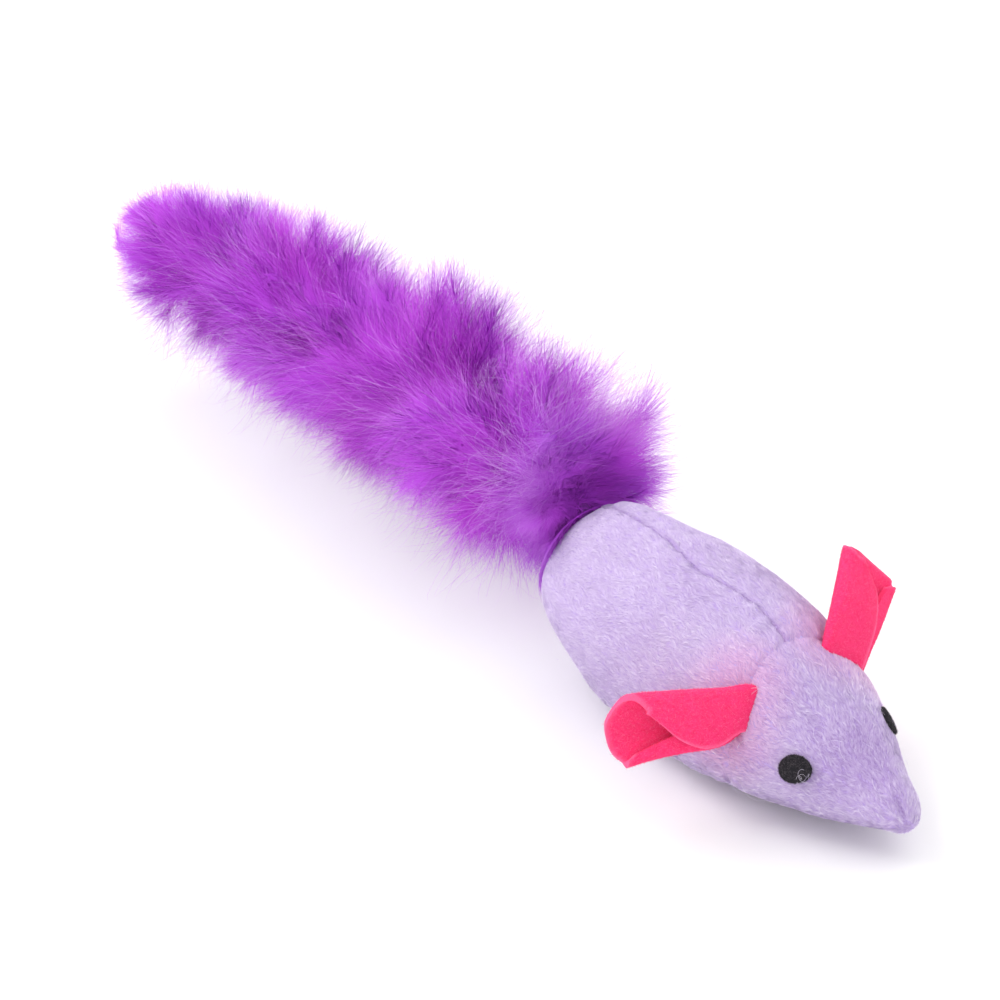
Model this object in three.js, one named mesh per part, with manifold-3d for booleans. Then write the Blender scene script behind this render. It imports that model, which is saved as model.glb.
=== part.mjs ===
// Catnip mouse: a stuffed plush mouse with felt ears, fabric eyes and a marabou feather tail.
// Millimetres, +Z up. The nose points to -Y and the tail to +Y. The origin is on the floor,
// under the flat of the belly. The mouse's left is +X.
import * as THREE from 'three';
import { mergeVertices } from 'three/addons/utils/BufferGeometryUtils.js';
import Module from 'manifold-3d';

const wasm = await Module();
wasm.setup();

// Lengths of the body
const RUMP_Y = 44;
const HAUNCH_FROM_RUMP = 38;
const TRUNK_LENGTH = 60;
const HEAD_LENGTH = 34;
const EYE_FROM_NOSE = 18.7;

// Full widths
const RUMP_WIDTH = 40;
const HAUNCH_WIDTH = 39.2;
const NECK_WIDTH = 36.4;
const CHEEK_WIDTH = 24.8;
const NOSE_WIDTH = 9;

// Heights of the back above the floor
const RUMP_TOP = 35.2;
const HAUNCH_TOP = 34.8;
const NECK_TOP = 30.2;
const BROW_TOP = 21.7;
const NOSE_TOP = 12;

// Heights of the underside, below the floor where the belly is pressed flat
const RUMP_LIFT = 1.7;
const HAUNCH_LIFT = -0.5;
const NECK_LIFT = -0.3;
const CHEEK_LIFT = 1.8;
const NOSE_LIFT = 4.6;

// Round ends of the stuffed form
const RUMP_POLE_Z = 20.2;
const RUMP_ROUND = 26.7;
const NOSE_POLE_Z = 8.6;
const NOSE_ROUND = 10.5;
const END_FULLNESS = 2.15;

// Cross-section: where it is widest, as a share of its height, and how square its halves are
const WAIST_SHARE = 0.45;
const BACK_FULLNESS = 1.88;
const BELLY_FULLNESS = 2.5;
const SMOOTH_CORE = 2;

// Plush cloth, its seams and the filling
const PLUSH = 1.8;
const SEAM_GAP = 0.3;
const SEAM_SINK = 0.8;
const SEAM_SPREAD = 2.4;
const NECK_BOW = 3.4;
const BELLY_SEAM_ANGLE = 38;
const STUFFING_GAP = 0.5;
const CATNIP_LENGTH = 24;
const CATNIP_WIDTH = 16;
const CATNIP_HEIGHT = 10;

// Eyes: oval pads on the cheeks
const EYE_LENGTH = 6.1;
const EYE_HEIGHT = 5.2;
const EYE_THICKNESS = 1.1;
const EYE_Z = 15.6;
const EYE_TILT_ANGLE = 24;
const EYE_WAIST_SHARE = 0.94;
const EYE_BULGE_SHARE = 1.04;
const EYE_CROWN_SHARE = 0.6;
const GLUE_GAP = 0.3;

// Ears: felt leaves folded once and sewn into the neck seam
const FELT = 1.2;
const PINCHED_FELT = 0.7;
const PINCH_LENGTH = 3;
const EAR_BASE = 9.8;
const EAR_BASE_Z = 22.2;
const EAR_LENGTH = 18.8;
const EAR_MOUTH = 14;
const EAR_RIM_BOW = 2.2;
const EAR_TIP_REACH = 3.4;
const FOLD_RADIUS = 2.4;
const PINCH_RADIUS = 0.5;
const FLAP_START = 6.5;
const FLAP_END_WIDTH = 0.8;
const EAR_CURL = 2.6;
const EAR_TUCK = 4.5;
const EAR_SEAT_GAP = 0.5;
const EAR_HINGE_OUT = 1;
const EAR_FORWARD_ANGLE = 30;
const EAR_BACK_ANGLE = 8;
const EAR_RIGHT_SWEEP_ANGLE = 26;
const EAR_RIGHT_RISE_ANGLE = -1.5;
const EAR_LEFT_SWEEP_ANGLE = 35;
const EAR_LEFT_RISE_ANGLE = 13;

// Tail: a knotted cord through the rump seam, in stretches that bend where they meet
const TAIL_Z = 29;
const CORD_DIAMETER = 3;
const CORD_CLEARANCE = 0.35;
const CORD_END_GAP = 0.3;
const KNOT_DIAMETER = 6;
const KNOT_FORWARD = 7;
const KNOT_DROP = 10;
const CORD_DIVE = 0.15;
const CORD_RUN_IN = 0.75;
const NECK_CORD = 3.6;

// Marabou plumes, bound round the cord by their quills in whorls, each with its reach
const FIRST_WHORL = 4.4;
const WHORL_SPACING = 10.4;
const BEND_ROOM = 5.6;
const BASE_REACHES = [18, 19.5];
const MIDDLE_REACHES = [19.5, 20.5, 20.3, 17.5];
const TIP_REACHES = [16.8, 17.5, 16.5, 15, 12.5, 8];
const PLUMES_IN_WHORL = 8;
const WHORL_GAP = 1.3;
const PLUME_THICKNESS = 0.9;
const PLUME_PITCH_ANGLE = 45;
const PLUME_SWEEP = 3;
const WHORL_TURN_ANGLE = 17;
const QUILL_WALL = 1.25;
const QUILL_LENGTH = 4.6;

// Each plume's outline: share of its reach, with its width and thickness there as shares
const PLUME_OUTLINE = [[0, 0.2, 1], [0.35, 0.72, 0.95], [0.76, 1, 0.7], [1, 0.3, 0.35]];

// Faces along and round each piece
const BACK_COLUMNS = 15;
const BELLY_COLUMNS = 10;
const HEAD_COLUMNS = 36;
const STUFFING_COLUMNS = 20;
const CATNIP_COLUMNS = 18;
const CATNIP_ROWS = 12;
const EYE_COLUMNS = 18;
const CORD_SIDES = 10;
const COLLAR_SIDES = 12;
const ARC_STEPS = 3;
const ANCHOR_STEPS = 6;

const PLUSH_COLOUR = 0xcbb2e4;
const FILLING_COLOUR = 0xf2f0ea;
const CATNIP_COLOUR = 0x6f7a3c;
const FELT_COLOUR = 0xfb3f7e;
const EYE_COLOUR = 0x2c2b30;
const CORD_COLOUR = 0x6c2a86;
const FEATHER_COLOUR = 0x9a35ba;

const BODY_LENGTH = TRUNK_LENGTH + HEAD_LENGTH;
const EYE_AT = BODY_LENGTH - EYE_FROM_NOSE;
const CORD_RADIUS = CORD_DIAMETER / 2;
const BORE_RADIUS = CORD_RADIUS + CORD_CLEARANCE;
const PLUME_WIDTH = (WHORL_SPACING - WHORL_GAP) / Math.cos(THREE.MathUtils.degToRad(PLUME_PITCH_ANGLE));
const MERGE = 1e-4;

// Small steps along the form and round it, over which its slope is read
const SLOPE_STEP = 1;
const SLOPE_ANGLE_STEP = 0.05;
const SEAM_ANGLE_STEP = 0.15;

const radians = THREE.MathUtils.degToRad;
const lerp = THREE.MathUtils.lerp;
const clamp = THREE.MathUtils.clamp;

// Faces are gathered as loose triangles; shared points are merged afterwards
function addTriangle(list, a, b, c) {
  if (Math.min(a.distanceTo(b), b.distanceTo(c), a.distanceTo(c)) > MERGE / 10) list.push(a, b, c);
}

function addQuad(list, a, b, c, d) {
  addTriangle(list, a, b, c);
  addTriangle(list, a, c, d);
}

function addGrid(list, grid, flipped) {
  for (let i = 0; i + 1 < grid.length; i += 1) {
    for (let j = 0; j + 1 < grid[i].length; j += 1) {
      const corners = [grid[i][j], grid[i + 1][j], grid[i + 1][j + 1], grid[i][j + 1]];
      if (flipped) corners.reverse();
      addQuad(list, ...corners);
    }
  }
}

function addBand(list, outer, inner) {
  for (let j = 0; j + 1 < outer.length; j += 1) {
    addQuad(list, outer[j], outer[j + 1], inner[j + 1], inner[j]);
  }
}

function signedVolume(points) {
  let sum = 0;
  const cross = new THREE.Vector3();
  for (let i = 0; i < points.length; i += 3) {
    sum += points[i].dot(cross.crossVectors(points[i + 1], points[i + 2]));
  }
  return sum / 6;
}

function closedGeometry(points) {
  const outward = signedVolume(points) > 0 ? points : points.slice().reverse();
  const loose = new THREE.BufferGeometry().setFromPoints(outward);
  return mergeVertices(loose, MERGE);
}

// A wall between two like grids, open along its edges or joined into a ring
function wallGeometry(outer, inner, ring = false) {
  const list = [];
  addGrid(list, outer, false);
  addGrid(list, inner, true);
  addBand(list, outer[0], inner[0]);
  addBand(list, inner.at(-1), outer.at(-1));
  if (!ring) {
    const column = (grid, j) => grid.map((row) => row.at(j));
    addBand(list, column(inner, 0), column(outer, 0));
    addBand(list, column(outer, -1), column(inner, -1));
  }
  return closedGeometry(list);
}

// A solid between a grid of rings and flat fans that close its two ends
function loftGeometry(rings) {
  const list = [];
  addGrid(list, rings, false);
  for (const [ring, flipped] of [[rings[0], true], [rings.at(-1), false]]) {
    const centre = new THREE.Vector3();
    ring.slice(0, -1).forEach((point) => centre.add(point));
    centre.divideScalar(ring.length - 1);
    for (let j = 0; j + 1 < ring.length; j += 1) {
      const pair = flipped ? [ring[j + 1], ring[j]] : [ring[j], ring[j + 1]];
      addTriangle(list, centre, pair[1], pair[0]);
    }
  }
  return closedGeometry(list);
}

function toSolid(geometry) {
  const bare = geometry.clone();
  bare.deleteAttribute('normal');
  bare.deleteAttribute('uv');
  const merged = mergeVertices(bare, MERGE);
  return new wasm.Manifold(new wasm.Mesh({
    numProp: 3,
    vertProperties: new Float32Array(merged.attributes.position.array),
    triVerts: new Uint32Array(merged.index.array),
  }));
}

function toGeometry(solid) {
  const mesh = solid.getMesh();
  const geometry = new THREE.BufferGeometry();
  geometry.setAttribute('position', new THREE.BufferAttribute(mesh.vertProperties, 3));
  geometry.setIndex(new THREE.BufferAttribute(mesh.triVerts, 1));
  return geometry;
}

// The stuffed form: widths, back and underside run smoothly through five named stations
function smoothThrough(values) {
  const places = [0, HAUNCH_FROM_RUMP, TRUNK_LENGTH, EYE_AT, BODY_LENGTH];
  const curve = new THREE.CubicInterpolant(places, values, 1);
  return (distance) => curve.evaluate(clamp(distance, 0, BODY_LENGTH))[0];
}

const widthAt = smoothThrough([RUMP_WIDTH, HAUNCH_WIDTH, NECK_WIDTH, CHEEK_WIDTH, NOSE_WIDTH]);
const topAt = smoothThrough([RUMP_TOP, HAUNCH_TOP, NECK_TOP, BROW_TOP, NOSE_TOP]);
const liftAt = smoothThrough([RUMP_LIFT, HAUNCH_LIFT, NECK_LIFT, CHEEK_LIFT, NOSE_LIFT]);

function roundShare(share) {
  return (1 - (1 - clamp(share, 0, 1)) ** END_FULLNESS) ** (1 / END_FULLNESS);
}

function endShare(distance) {
  return roundShare(distance / RUMP_ROUND) * roundShare((BODY_LENGTH - distance) / NOSE_ROUND);
}

function neckAt(angle) {
  return TRUNK_LENGTH + NECK_BOW * Math.cos(angle) ** 2;
}

function angleBetween(a, b) {
  return Math.abs(Math.atan2(Math.sin(a - b), Math.cos(a - b)));
}

// Depth of the valleys that the seams pull into the plush
function seamSink(distance, angle) {
  const radius = widthAt(distance) / 2 * endShare(distance);
  const valley = (away) => 1 - Math.exp(-((away / SEAM_SPREAD) ** 2));
  const side = radians(BELLY_SEAM_ANGLE);
  let left = valley(distance - neckAt(angle));
  if (distance < neckAt(angle)) {
    for (const seam of [Math.PI / 2, -side, side - Math.PI]) {
      left *= valley(radius * angleBetween(angle, seam));
    }
  } else {
    left *= valley(radius * angleBetween(angle, -Math.PI / 2));
  }
  return SEAM_SINK * (1 - left) * endShare(distance) ** 2;
}

// A point of the form, a distance forward of the rump and an angle round it, set in by a depth
function formPoint(distance, angle, depth) {
  const share = endShare(distance);
  const pole = distance < BODY_LENGTH / 2 ? RUMP_POLE_Z : NOSE_POLE_Z;
  const half = (widthAt(distance) / 2 - depth) * share;
  const top = lerp(pole, topAt(distance) - depth, share);
  const bottom = lerp(pole, liftAt(distance) + depth, share);
  const waist = lerp(bottom, top, WAIST_SHARE);
  const [cos, sin] = [Math.cos(angle), Math.sin(angle)];
  const power = 2 / (sin > 0 ? BACK_FULLNESS : BELLY_FULLNESS);
  const x = half * Math.sign(cos) * Math.abs(cos) ** power;
  const z = (sin > 0 ? top - waist : waist - bottom) * Math.sign(sin) * Math.abs(sin) ** power;
  const kept = 1 - seamSink(distance, angle) / Math.max(Math.hypot(x, z), SMOOTH_CORE);
  const fromRump = depth * Math.max(0, 1 - distance / RUMP_ROUND);
  const fromNose = depth * Math.max(0, 1 - (BODY_LENGTH - distance) / NOSE_ROUND);
  const y = RUMP_Y - distance - fromRump + fromNose;
  return new THREE.Vector3(x * kept, y, Math.max(waist + z * kept, 0));
}

function bisect(low, high, isPast) {
  for (let step = 0; step < 40; step += 1) {
    const middle = (low + high) / 2;
    if (isPast(middle)) high = middle;
    else low = middle;
  }
  return (low + high) / 2;
}

// Rows run from the rump round to the neck, closer together where the form turns quickly
const RUMP_ROWS = [0.07, 0.18, 0.32, 0.48, 0.63, 0.77, 0.88, 0.96];
const TRUNK_ROWS = [0, 0.14, 0.28, 0.42, 0.56, 0.69, 0.8, 0.88, 0.94, 1];
const HEAD_ROWS = [0, 0.06, 0.13, 0.22, 0.34, 0.48, 0.62, 0.76, 0.89, 1];
const NOSE_ROWS = [0.93, 0.8, 0.6, 0.33, 0];

function distanceOfShare(share, radius) {
  return radius * (1 - (1 - share ** END_FULLNESS) ** (1 / END_FULLNESS));
}

function trunkDistances(angle, neckGap) {
  const end = neckAt(angle) - neckGap;
  const round = RUMP_ROWS.map((share) => distanceOfShare(share, RUMP_ROUND));
  return [...round, ...TRUNK_ROWS.map((t) => lerp(RUMP_ROUND, end, t))];
}

function headDistances(angle, neckGap) {
  const start = neckAt(angle) + neckGap;
  const round = NOSE_ROWS.map((share) => BODY_LENGTH - distanceOfShare(share, NOSE_ROUND));
  return [...HEAD_ROWS.map((t) => lerp(start, BODY_LENGTH - NOSE_ROUND, t)), ...round];
}

// The angle round the form that half a seam's gap takes up beside a seam
function seamOpening(distance, seamAngle, depth) {
  const before = formPoint(distance, seamAngle - SLOPE_ANGLE_STEP, depth);
  const after = formPoint(distance, seamAngle + SLOPE_ANGLE_STEP, depth);
  return SEAM_GAP * SLOPE_ANGLE_STEP / before.distanceTo(after);
}

// A trunk panel between two seams, each seam's half gap left open along its edge, with its
// columns a little closer together towards the seams
function trunkGrid(fromAngle, toAngle, columns, depth) {
  const grid = trunkDistances(0, 0).map(() => []);
  for (let j = 0; j <= columns; j += 1) {
    const even = j / columns;
    const eased = (even + (1 - Math.cos(Math.PI * even)) / 2) / 2;
    const rough = trunkDistances(lerp(fromAngle, toAngle, eased), 0);
    grid.forEach((row, i) => {
      const first = fromAngle + seamOpening(rough[i], fromAngle, depth);
      const last = toAngle - seamOpening(rough[i], toAngle, depth);
      const angle = lerp(first, last, eased);
      row.push(formPoint(trunkDistances(angle, SEAM_GAP / 2)[i], angle, depth));
    });
  }
  return grid;
}

function trunkPanel(fromAngle, toAngle, columns) {
  return wallGeometry(
    trunkGrid(fromAngle, toAngle, columns, 0),
    trunkGrid(fromAngle, toAngle, columns, PLUSH),
  );
}

function anglesRound(columns) {
  return Array.from({ length: columns + 1 }, (_, j) => (j % columns) / columns * 2 * Math.PI);
}

function headGrid(depth) {
  return headDistances(0, 0).map((_, i) => anglesRound(HEAD_COLUMNS).map((angle) => (
    formPoint(headDistances(angle, SEAM_GAP / 2)[i], angle, depth)
  )));
}

function headPanel() {
  const [outer, inner] = [headGrid(0), headGrid(PLUSH)];
  const list = [];
  addGrid(list, outer, false);
  addGrid(list, inner, true);
  addBand(list, outer[0], inner[0]);
  return closedGeometry(list);
}

// The whole form, rump to nose, as one closed solid set in by a depth
function wholeForm(depth, columns) {
  const distancesAt = (angle) => [
    0,
    ...trunkDistances(angle, 0),
    ...headDistances(angle, 0).slice(1),
  ];
  const rings = distancesAt(0).map((_, i) => anglesRound(columns).map((angle) => (
    formPoint(distancesAt(angle)[i], angle, depth)
  )));
  const list = [];
  addGrid(list, rings, false);
  return closedGeometry(list);
}

// A point of the back's middle line at a height, on the rump side
function rumpDistanceAtHeight(height) {
  return bisect(0, RUMP_ROUND, (d) => formPoint(d, Math.PI / 2, 0).z > height);
}

const CORD_EXIT_Y = RUMP_Y - rumpDistanceAtHeight(TAIL_Z - BORE_RADIUS);
const SWING_Y = CORD_EXIT_Y + BORE_RADIUS;
const LIFT_Y = SWING_Y + NECK_CORD;
const BASE_START = LIFT_Y + FIRST_WHORL;
const HALF_BEND = (WHORL_SPACING + BEND_ROOM) / 2;
const MIDDLE_BEND_Y = BASE_START + WHORL_SPACING * (BASE_REACHES.length - 1) + HALF_BEND;
const MIDDLE_START = MIDDLE_BEND_Y + HALF_BEND;
const TIP_BEND_Y = MIDDLE_START + WHORL_SPACING * (MIDDLE_REACHES.length - 1) + HALF_BEND;
const TIP_START = TIP_BEND_Y + HALF_BEND;
const CORD_END_Y = TIP_START + WHORL_SPACING * (TIP_REACHES.length - 1) + QUILL_LENGTH / 2;

// Polyester filling in one piece, with a pocket for the catnip and a way for the cord
function stuffing() {
  const filling = toSolid(wholeForm(PLUSH + STUFFING_GAP, STUFFING_COLUMNS));
  const pocket = toSolid(catnipGeometry(STUFFING_GAP));
  const mouth = new THREE.CylinderGeometry(1, 1, 1, CATNIP_COLUMNS).rotateX(Math.PI / 2);
  mouth.scale(CATNIP_WIDTH / 2 + STUFFING_GAP, CATNIP_LENGTH / 2 + STUFFING_GAP, catnipCentre().z);
  mouth.translate(0, catnipCentre().y, catnipCentre().z / 2);
  return toGeometry(
    filling.subtract(pocket).subtract(toSolid(mouth)).subtract(anchorSolid(CORD_CLEARANCE)),
  );
}

function catnipCentre() {
  const floor = Math.max(liftAt(HAUNCH_FROM_RUMP), 0) + PLUSH + STUFFING_GAP;
  return new THREE.Vector3(0, RUMP_Y - HAUNCH_FROM_RUMP, floor + CATNIP_HEIGHT / 2);
}

function catnipGeometry(margin) {
  const wad = new THREE.SphereGeometry(1, CATNIP_COLUMNS, CATNIP_ROWS);
  wad.scale(CATNIP_WIDTH / 2 + margin, CATNIP_LENGTH / 2 + margin, CATNIP_HEIGHT / 2 + margin);
  const centre = catnipCentre();
  return wad.translate(centre.x, centre.y, centre.z);
}

// A backed oval pad with a rounded rim, its flat side on the cheek
function eyeMesh(name, side) {
  const rim = new THREE.Shape();
  rim.moveTo(0, 0);
  rim.lineTo(EYE_WAIST_SHARE, 0);
  rim.bezierCurveTo(EYE_BULGE_SHARE, 1 / 2, EYE_CROWN_SHARE, 1, 0, 1);
  const geometry = new THREE.LatheGeometry(rim.getPoints(2 * ARC_STEPS), EYE_COLUMNS);
  geometry.rotateX(Math.PI / 2);
  geometry.scale(EYE_LENGTH / 2, EYE_HEIGHT / 2, EYE_THICKNESS);
  const angle = bisect(0, Math.PI / 2, (a) => formPoint(EYE_AT, a, 0).z > EYE_Z);
  const turned = side > 0 ? angle : Math.PI - angle;
  const seat = formPoint(EYE_AT, turned, 0);
  const behind = formPoint(EYE_AT - SLOPE_STEP, turned, 0);
  const forward = formPoint(EYE_AT + SLOPE_STEP, turned, 0).sub(behind).normalize();
  const below = formPoint(EYE_AT, turned - SLOPE_ANGLE_STEP, 0);
  const round = formPoint(EYE_AT, turned + SLOPE_ANGLE_STEP, 0).sub(below).normalize();
  const normal = new THREE.Vector3().crossVectors(forward, round).normalize();
  if (normal.x * side < 0) normal.negate();
  forward.applyAxisAngle(normal, -side * radians(EYE_TILT_ANGLE));
  const across = new THREE.Vector3().crossVectors(normal, forward);
  const mesh = new THREE.Mesh(closedFrom(geometry), material(EYE_COLOUR, 0.75));
  mesh.name = name;
  mesh.quaternion.setFromRotationMatrix(new THREE.Matrix4().makeBasis(forward, across, normal));
  mesh.position.copy(seat).addScaledVector(normal, GLUE_GAP);
  return mesh;
}

function closedFrom(geometry) {
  return toGeometry(toSolid(geometry));
}

// The middle of the felt, from the lower edge of the back layer over the fold to the flap:
// along the ear, up the ear's width, and out towards its front
const EAR_BACK_COLUMNS = 7;
const EAR_FOLD_COLUMNS = 4;
const EAR_FLAP_COLUMNS = 5;
const EAR_ROWS = 9;

function earMiddle(row, column) {
  const back = column <= EAR_BACK_COLUMNS;
  const t = back
    ? 1 - column / EAR_BACK_COLUMNS
    : (column - EAR_BACK_COLUMNS - EAR_FOLD_COLUMNS) / EAR_FLAP_COLUMNS;
  const rim = back ? EAR_RIM_BOW * Math.sin(Math.PI * t) + EAR_TIP_REACH * t : 0;
  const along = lerp(-EAR_TUCK, EAR_LENGTH + rim, row / EAR_ROWS);
  const out = clamp(along / EAR_LENGTH, 0, 1);
  const half = lerp(EAR_BASE, EAR_MOUTH, out) / 2;
  const radius = lerp(PINCH_RADIUS, FOLD_RADIUS, out);
  const foldTop = half - feltAt(along) / 2 - radius;
  if (back) {
    const up = lerp(foldTop, -half, t);
    return new THREE.Vector3(along, up, -radius + EAR_CURL * out * t * t);
  }
  if (t < 0) {
    const turn = Math.PI * (1 + t * EAR_FLAP_COLUMNS / EAR_FOLD_COLUMNS);
    return new THREE.Vector3(along, foldTop + radius * Math.sin(turn), -radius * Math.cos(turn));
  }
  const open = clamp((EAR_LENGTH - along) / (EAR_LENGTH - FLAP_START), 0, 1);
  const reach = Math.max((foldTop + half) * open, FLAP_END_WIDTH);
  return new THREE.Vector3(along, foldTop - reach * t, radius);
}

function feltAt(along) {
  return lerp(PINCHED_FELT, FELT, clamp(along / PINCH_LENGTH, 0, 1));
}

function earSheet() {
  const columns = EAR_BACK_COLUMNS + EAR_FOLD_COLUMNS + EAR_FLAP_COLUMNS;
  const [front, rear] = [[], []];
  for (let i = 0; i <= EAR_ROWS; i += 1) {
    front.push([]);
    rear.push([]);
    for (let j = 0; j <= columns; j += 1) {
      const middle = earMiddle(i, j);
      const down = earMiddle(Math.min(i + 1, EAR_ROWS), j).sub(earMiddle(Math.max(i - 1, 0), j));
      const across = earMiddle(i, Math.min(j + 1, columns)).sub(earMiddle(i, Math.max(j - 1, 0)));
      const normal = down.cross(across).normalize().multiplyScalar(feltAt(middle.x) / 2);
      front[i].push(middle.clone().add(normal));
      rear[i].push(middle.clone().sub(normal));
    }
  }
  return wallGeometry(front, rear);
}

// Where an ear is sewn: its place on the seam, and its length, width and front directions
function earFrame(side, sweep, rise) {
  const seamPoint = (a) => formPoint(neckAt(a), side > 0 ? a : Math.PI - a, 0);
  const angle = bisect(0, Math.PI / 2, (a) => seamPoint(a).z > EAR_BASE_Z);
  const out = new THREE.Vector3(
    side * Math.cos(radians(rise)) * Math.cos(radians(sweep)),
    Math.cos(radians(rise)) * Math.sin(radians(sweep)),
    Math.sin(radians(rise)),
  );
  const seam = seamPoint(angle + SEAM_ANGLE_STEP).sub(seamPoint(angle - SEAM_ANGLE_STEP));
  const up = seam.addScaledVector(out, -seam.dot(out)).normalize();
  const front = new THREE.Vector3().crossVectors(up, out).multiplyScalar(-side);
  return { seat: seamPoint(angle), out, up, front };
}

// The ear's root is trimmed to clear the plush at rest and as far as the ear flaps
function earMesh(name, side, sweep, rise) {
  const { seat, out, up, front } = earFrame(side, sweep, rise);
  const place = new THREE.Matrix4().makeBasis(out, up, front).setPosition(seat);
  const sheet = earSheet().applyMatrix4(place);
  const points = Array.from({ length: sheet.index.count }, (_, i) => (
    new THREE.Vector3().fromBufferAttribute(sheet.attributes.position, sheet.index.getX(i))
  ));
  const hinge = seat.clone().addScaledVector(out, EAR_HINGE_OUT);
  let ear = toSolid(closedGeometry(points));
  for (const turn of [0, EAR_FORWARD_ANGLE, -EAR_BACK_ANGLE]) {
    const form = wholeForm(-EAR_SEAT_GAP, HEAD_COLUMNS).translate(-hinge.x, -hinge.y, -hinge.z);
    form.applyQuaternion(new THREE.Quaternion().setFromAxisAngle(up, side * radians(turn)));
    ear = ear.subtract(toSolid(form.translate(hinge.x, hinge.y, hinge.z)));
  }
  return namedMesh(name, toGeometry(ear), FELT_COLOUR, 0.9);
}

// A stretch of cord along the tail with round ends
function cordGeometry(fromY, toY) {
  const length = toY - fromY;
  const profile = new THREE.Path();
  profile.absarc(0, CORD_RADIUS, CORD_RADIUS, -Math.PI / 2, 0, false);
  profile.lineTo(CORD_RADIUS, length - CORD_RADIUS);
  profile.absarc(0, length - CORD_RADIUS, CORD_RADIUS, 0, Math.PI / 2, false);
  const outline = profile.getPoints(ARC_STEPS);
  outline[0].x = 0;
  outline.at(-1).x = 0;
  return closedFrom(new THREE.LatheGeometry(outline, CORD_SIDES)).translate(0, fromY, 0);
}

// The cord's inner end: in through the seam, down into the filling and knotted there
function anchorSolid(margin) {
  const start = new THREE.Vector3(0, SWING_Y - CORD_END_GAP / 2 - CORD_RADIUS, TAIL_Z);
  const knot = new THREE.Vector3(0, start.y - KNOT_FORWARD, TAIL_Z - KNOT_DROP);
  const turn = new THREE.Vector3(0, lerp(start.y, knot.y, CORD_RUN_IN), lerp(start.z, knot.z, CORD_DIVE));
  const section = new THREE.Shape().absarc(0, 0, CORD_RADIUS + margin, 0, 2 * Math.PI, false);
  const tube = new THREE.ExtrudeGeometry(section, {
    extrudePath: new THREE.QuadraticBezierCurve3(start, turn, knot),
    steps: ANCHOR_STEPS,
    curveSegments: CORD_SIDES,
  });
  const ball = (centre, radius) => {
    const sphere = new THREE.SphereGeometry(radius + margin, CORD_SIDES, CORD_SIDES - 2);
    return toSolid(sphere.translate(centre.x, centre.y, centre.z));
  };
  return toSolid(tube).add(ball(start, CORD_RADIUS)).add(ball(knot, KNOT_DIAMETER / 2));
}

// One plume: a diamond section carried out from the quill, pitched round the cord
function plumeGeometry(reach) {
  const root = BORE_RADIUS + QUILL_WALL / 2;
  const pitch = radians(PLUME_PITCH_ANGLE);
  const rings = PLUME_OUTLINE.map(([share, wide, thick]) => {
    const centre = new THREE.Vector3(0, PLUME_SWEEP * share ** 1.5, lerp(root, reach, share));
    const chord = new THREE.Vector3(Math.sin(pitch), Math.cos(pitch), 0);
    const normal = new THREE.Vector3(Math.cos(pitch), -Math.sin(pitch), 0);
    const corners = [
      chord.clone().multiplyScalar(wide * PLUME_WIDTH / 2),
      normal.clone().multiplyScalar(thick * PLUME_THICKNESS / 2),
      chord.clone().multiplyScalar(-wide * PLUME_WIDTH / 2),
      normal.clone().multiplyScalar(-thick * PLUME_THICKNESS / 2),
    ];
    corners.push(corners[0]);
    return corners.map((corner) => corner.clone().add(centre));
  });
  return loftGeometry(rings);
}

function whorlGeometry(reach, turn) {
  const rod = (radius, length) => toSolid(new THREE.CylinderGeometry(radius, radius, length, COLLAR_SIDES));
  const bore = rod(BORE_RADIUS, 2 * QUILL_LENGTH);
  let whorl = rod(BORE_RADIUS + QUILL_WALL, QUILL_LENGTH);
  for (let k = 0; k < PLUMES_IN_WHORL; k += 1) {
    const angle = turn + k / PLUMES_IN_WHORL * 2 * Math.PI;
    whorl = whorl.add(toSolid(plumeGeometry(reach).rotateY(angle)));
  }
  return toGeometry(whorl.subtract(bore));
}

function material(colour, roughness) {
  return new THREE.MeshStandardMaterial({ color: colour, roughness, metalness: 0 });
}

function namedMesh(name, geometry, colour, roughness) {
  const mesh = new THREE.Mesh(geometry, material(colour, roughness));
  mesh.name = name;
  return mesh;
}

function plushPanels() {
  const side = radians(BELLY_SEAM_ANGLE);
  const hole = anchorSolid(CORD_CLEARANCE);
  const left = toSolid(trunkPanel(-side, Math.PI / 2, BACK_COLUMNS)).subtract(hole);
  const right = toSolid(trunkPanel(Math.PI / 2, Math.PI + side, BACK_COLUMNS)).subtract(hole);
  const belly = trunkPanel(side - Math.PI, -side, BELLY_COLUMNS);
  return [
    namedMesh('back_panel_left', toGeometry(left), PLUSH_COLOUR, 0.95),
    namedMesh('back_panel_right', toGeometry(right), PLUSH_COLOUR, 0.95),
    namedMesh('belly_panel', belly, PLUSH_COLOUR, 0.95),
    namedMesh('head_panel', headPanel(), PLUSH_COLOUR, 0.95),
  ];
}

function filling() {
  return [
    namedMesh('stuffing', stuffing(), FILLING_COLOUR, 1),
    namedMesh('catnip_fill', closedFrom(catnipGeometry(0)), CATNIP_COLOUR, 1),
  ];
}

// Cord stretches from bend to bend, each short of its bend by half the gap
function tailCords() {
  const bends = [SWING_Y, LIFT_Y, MIDDLE_BEND_Y, TIP_BEND_Y, CORD_END_Y + CORD_END_GAP / 2];
  const names = ['tail_cord_neck', 'tail_cord_base', 'tail_cord_middle', 'tail_cord_tip'];
  return names.map((name, k) => {
    const cord = cordGeometry(bends[k] + CORD_END_GAP / 2, bends[k + 1] - CORD_END_GAP / 2);
    return namedMesh(name, cord, CORD_COLOUR, 0.8);
  });
}

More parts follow.
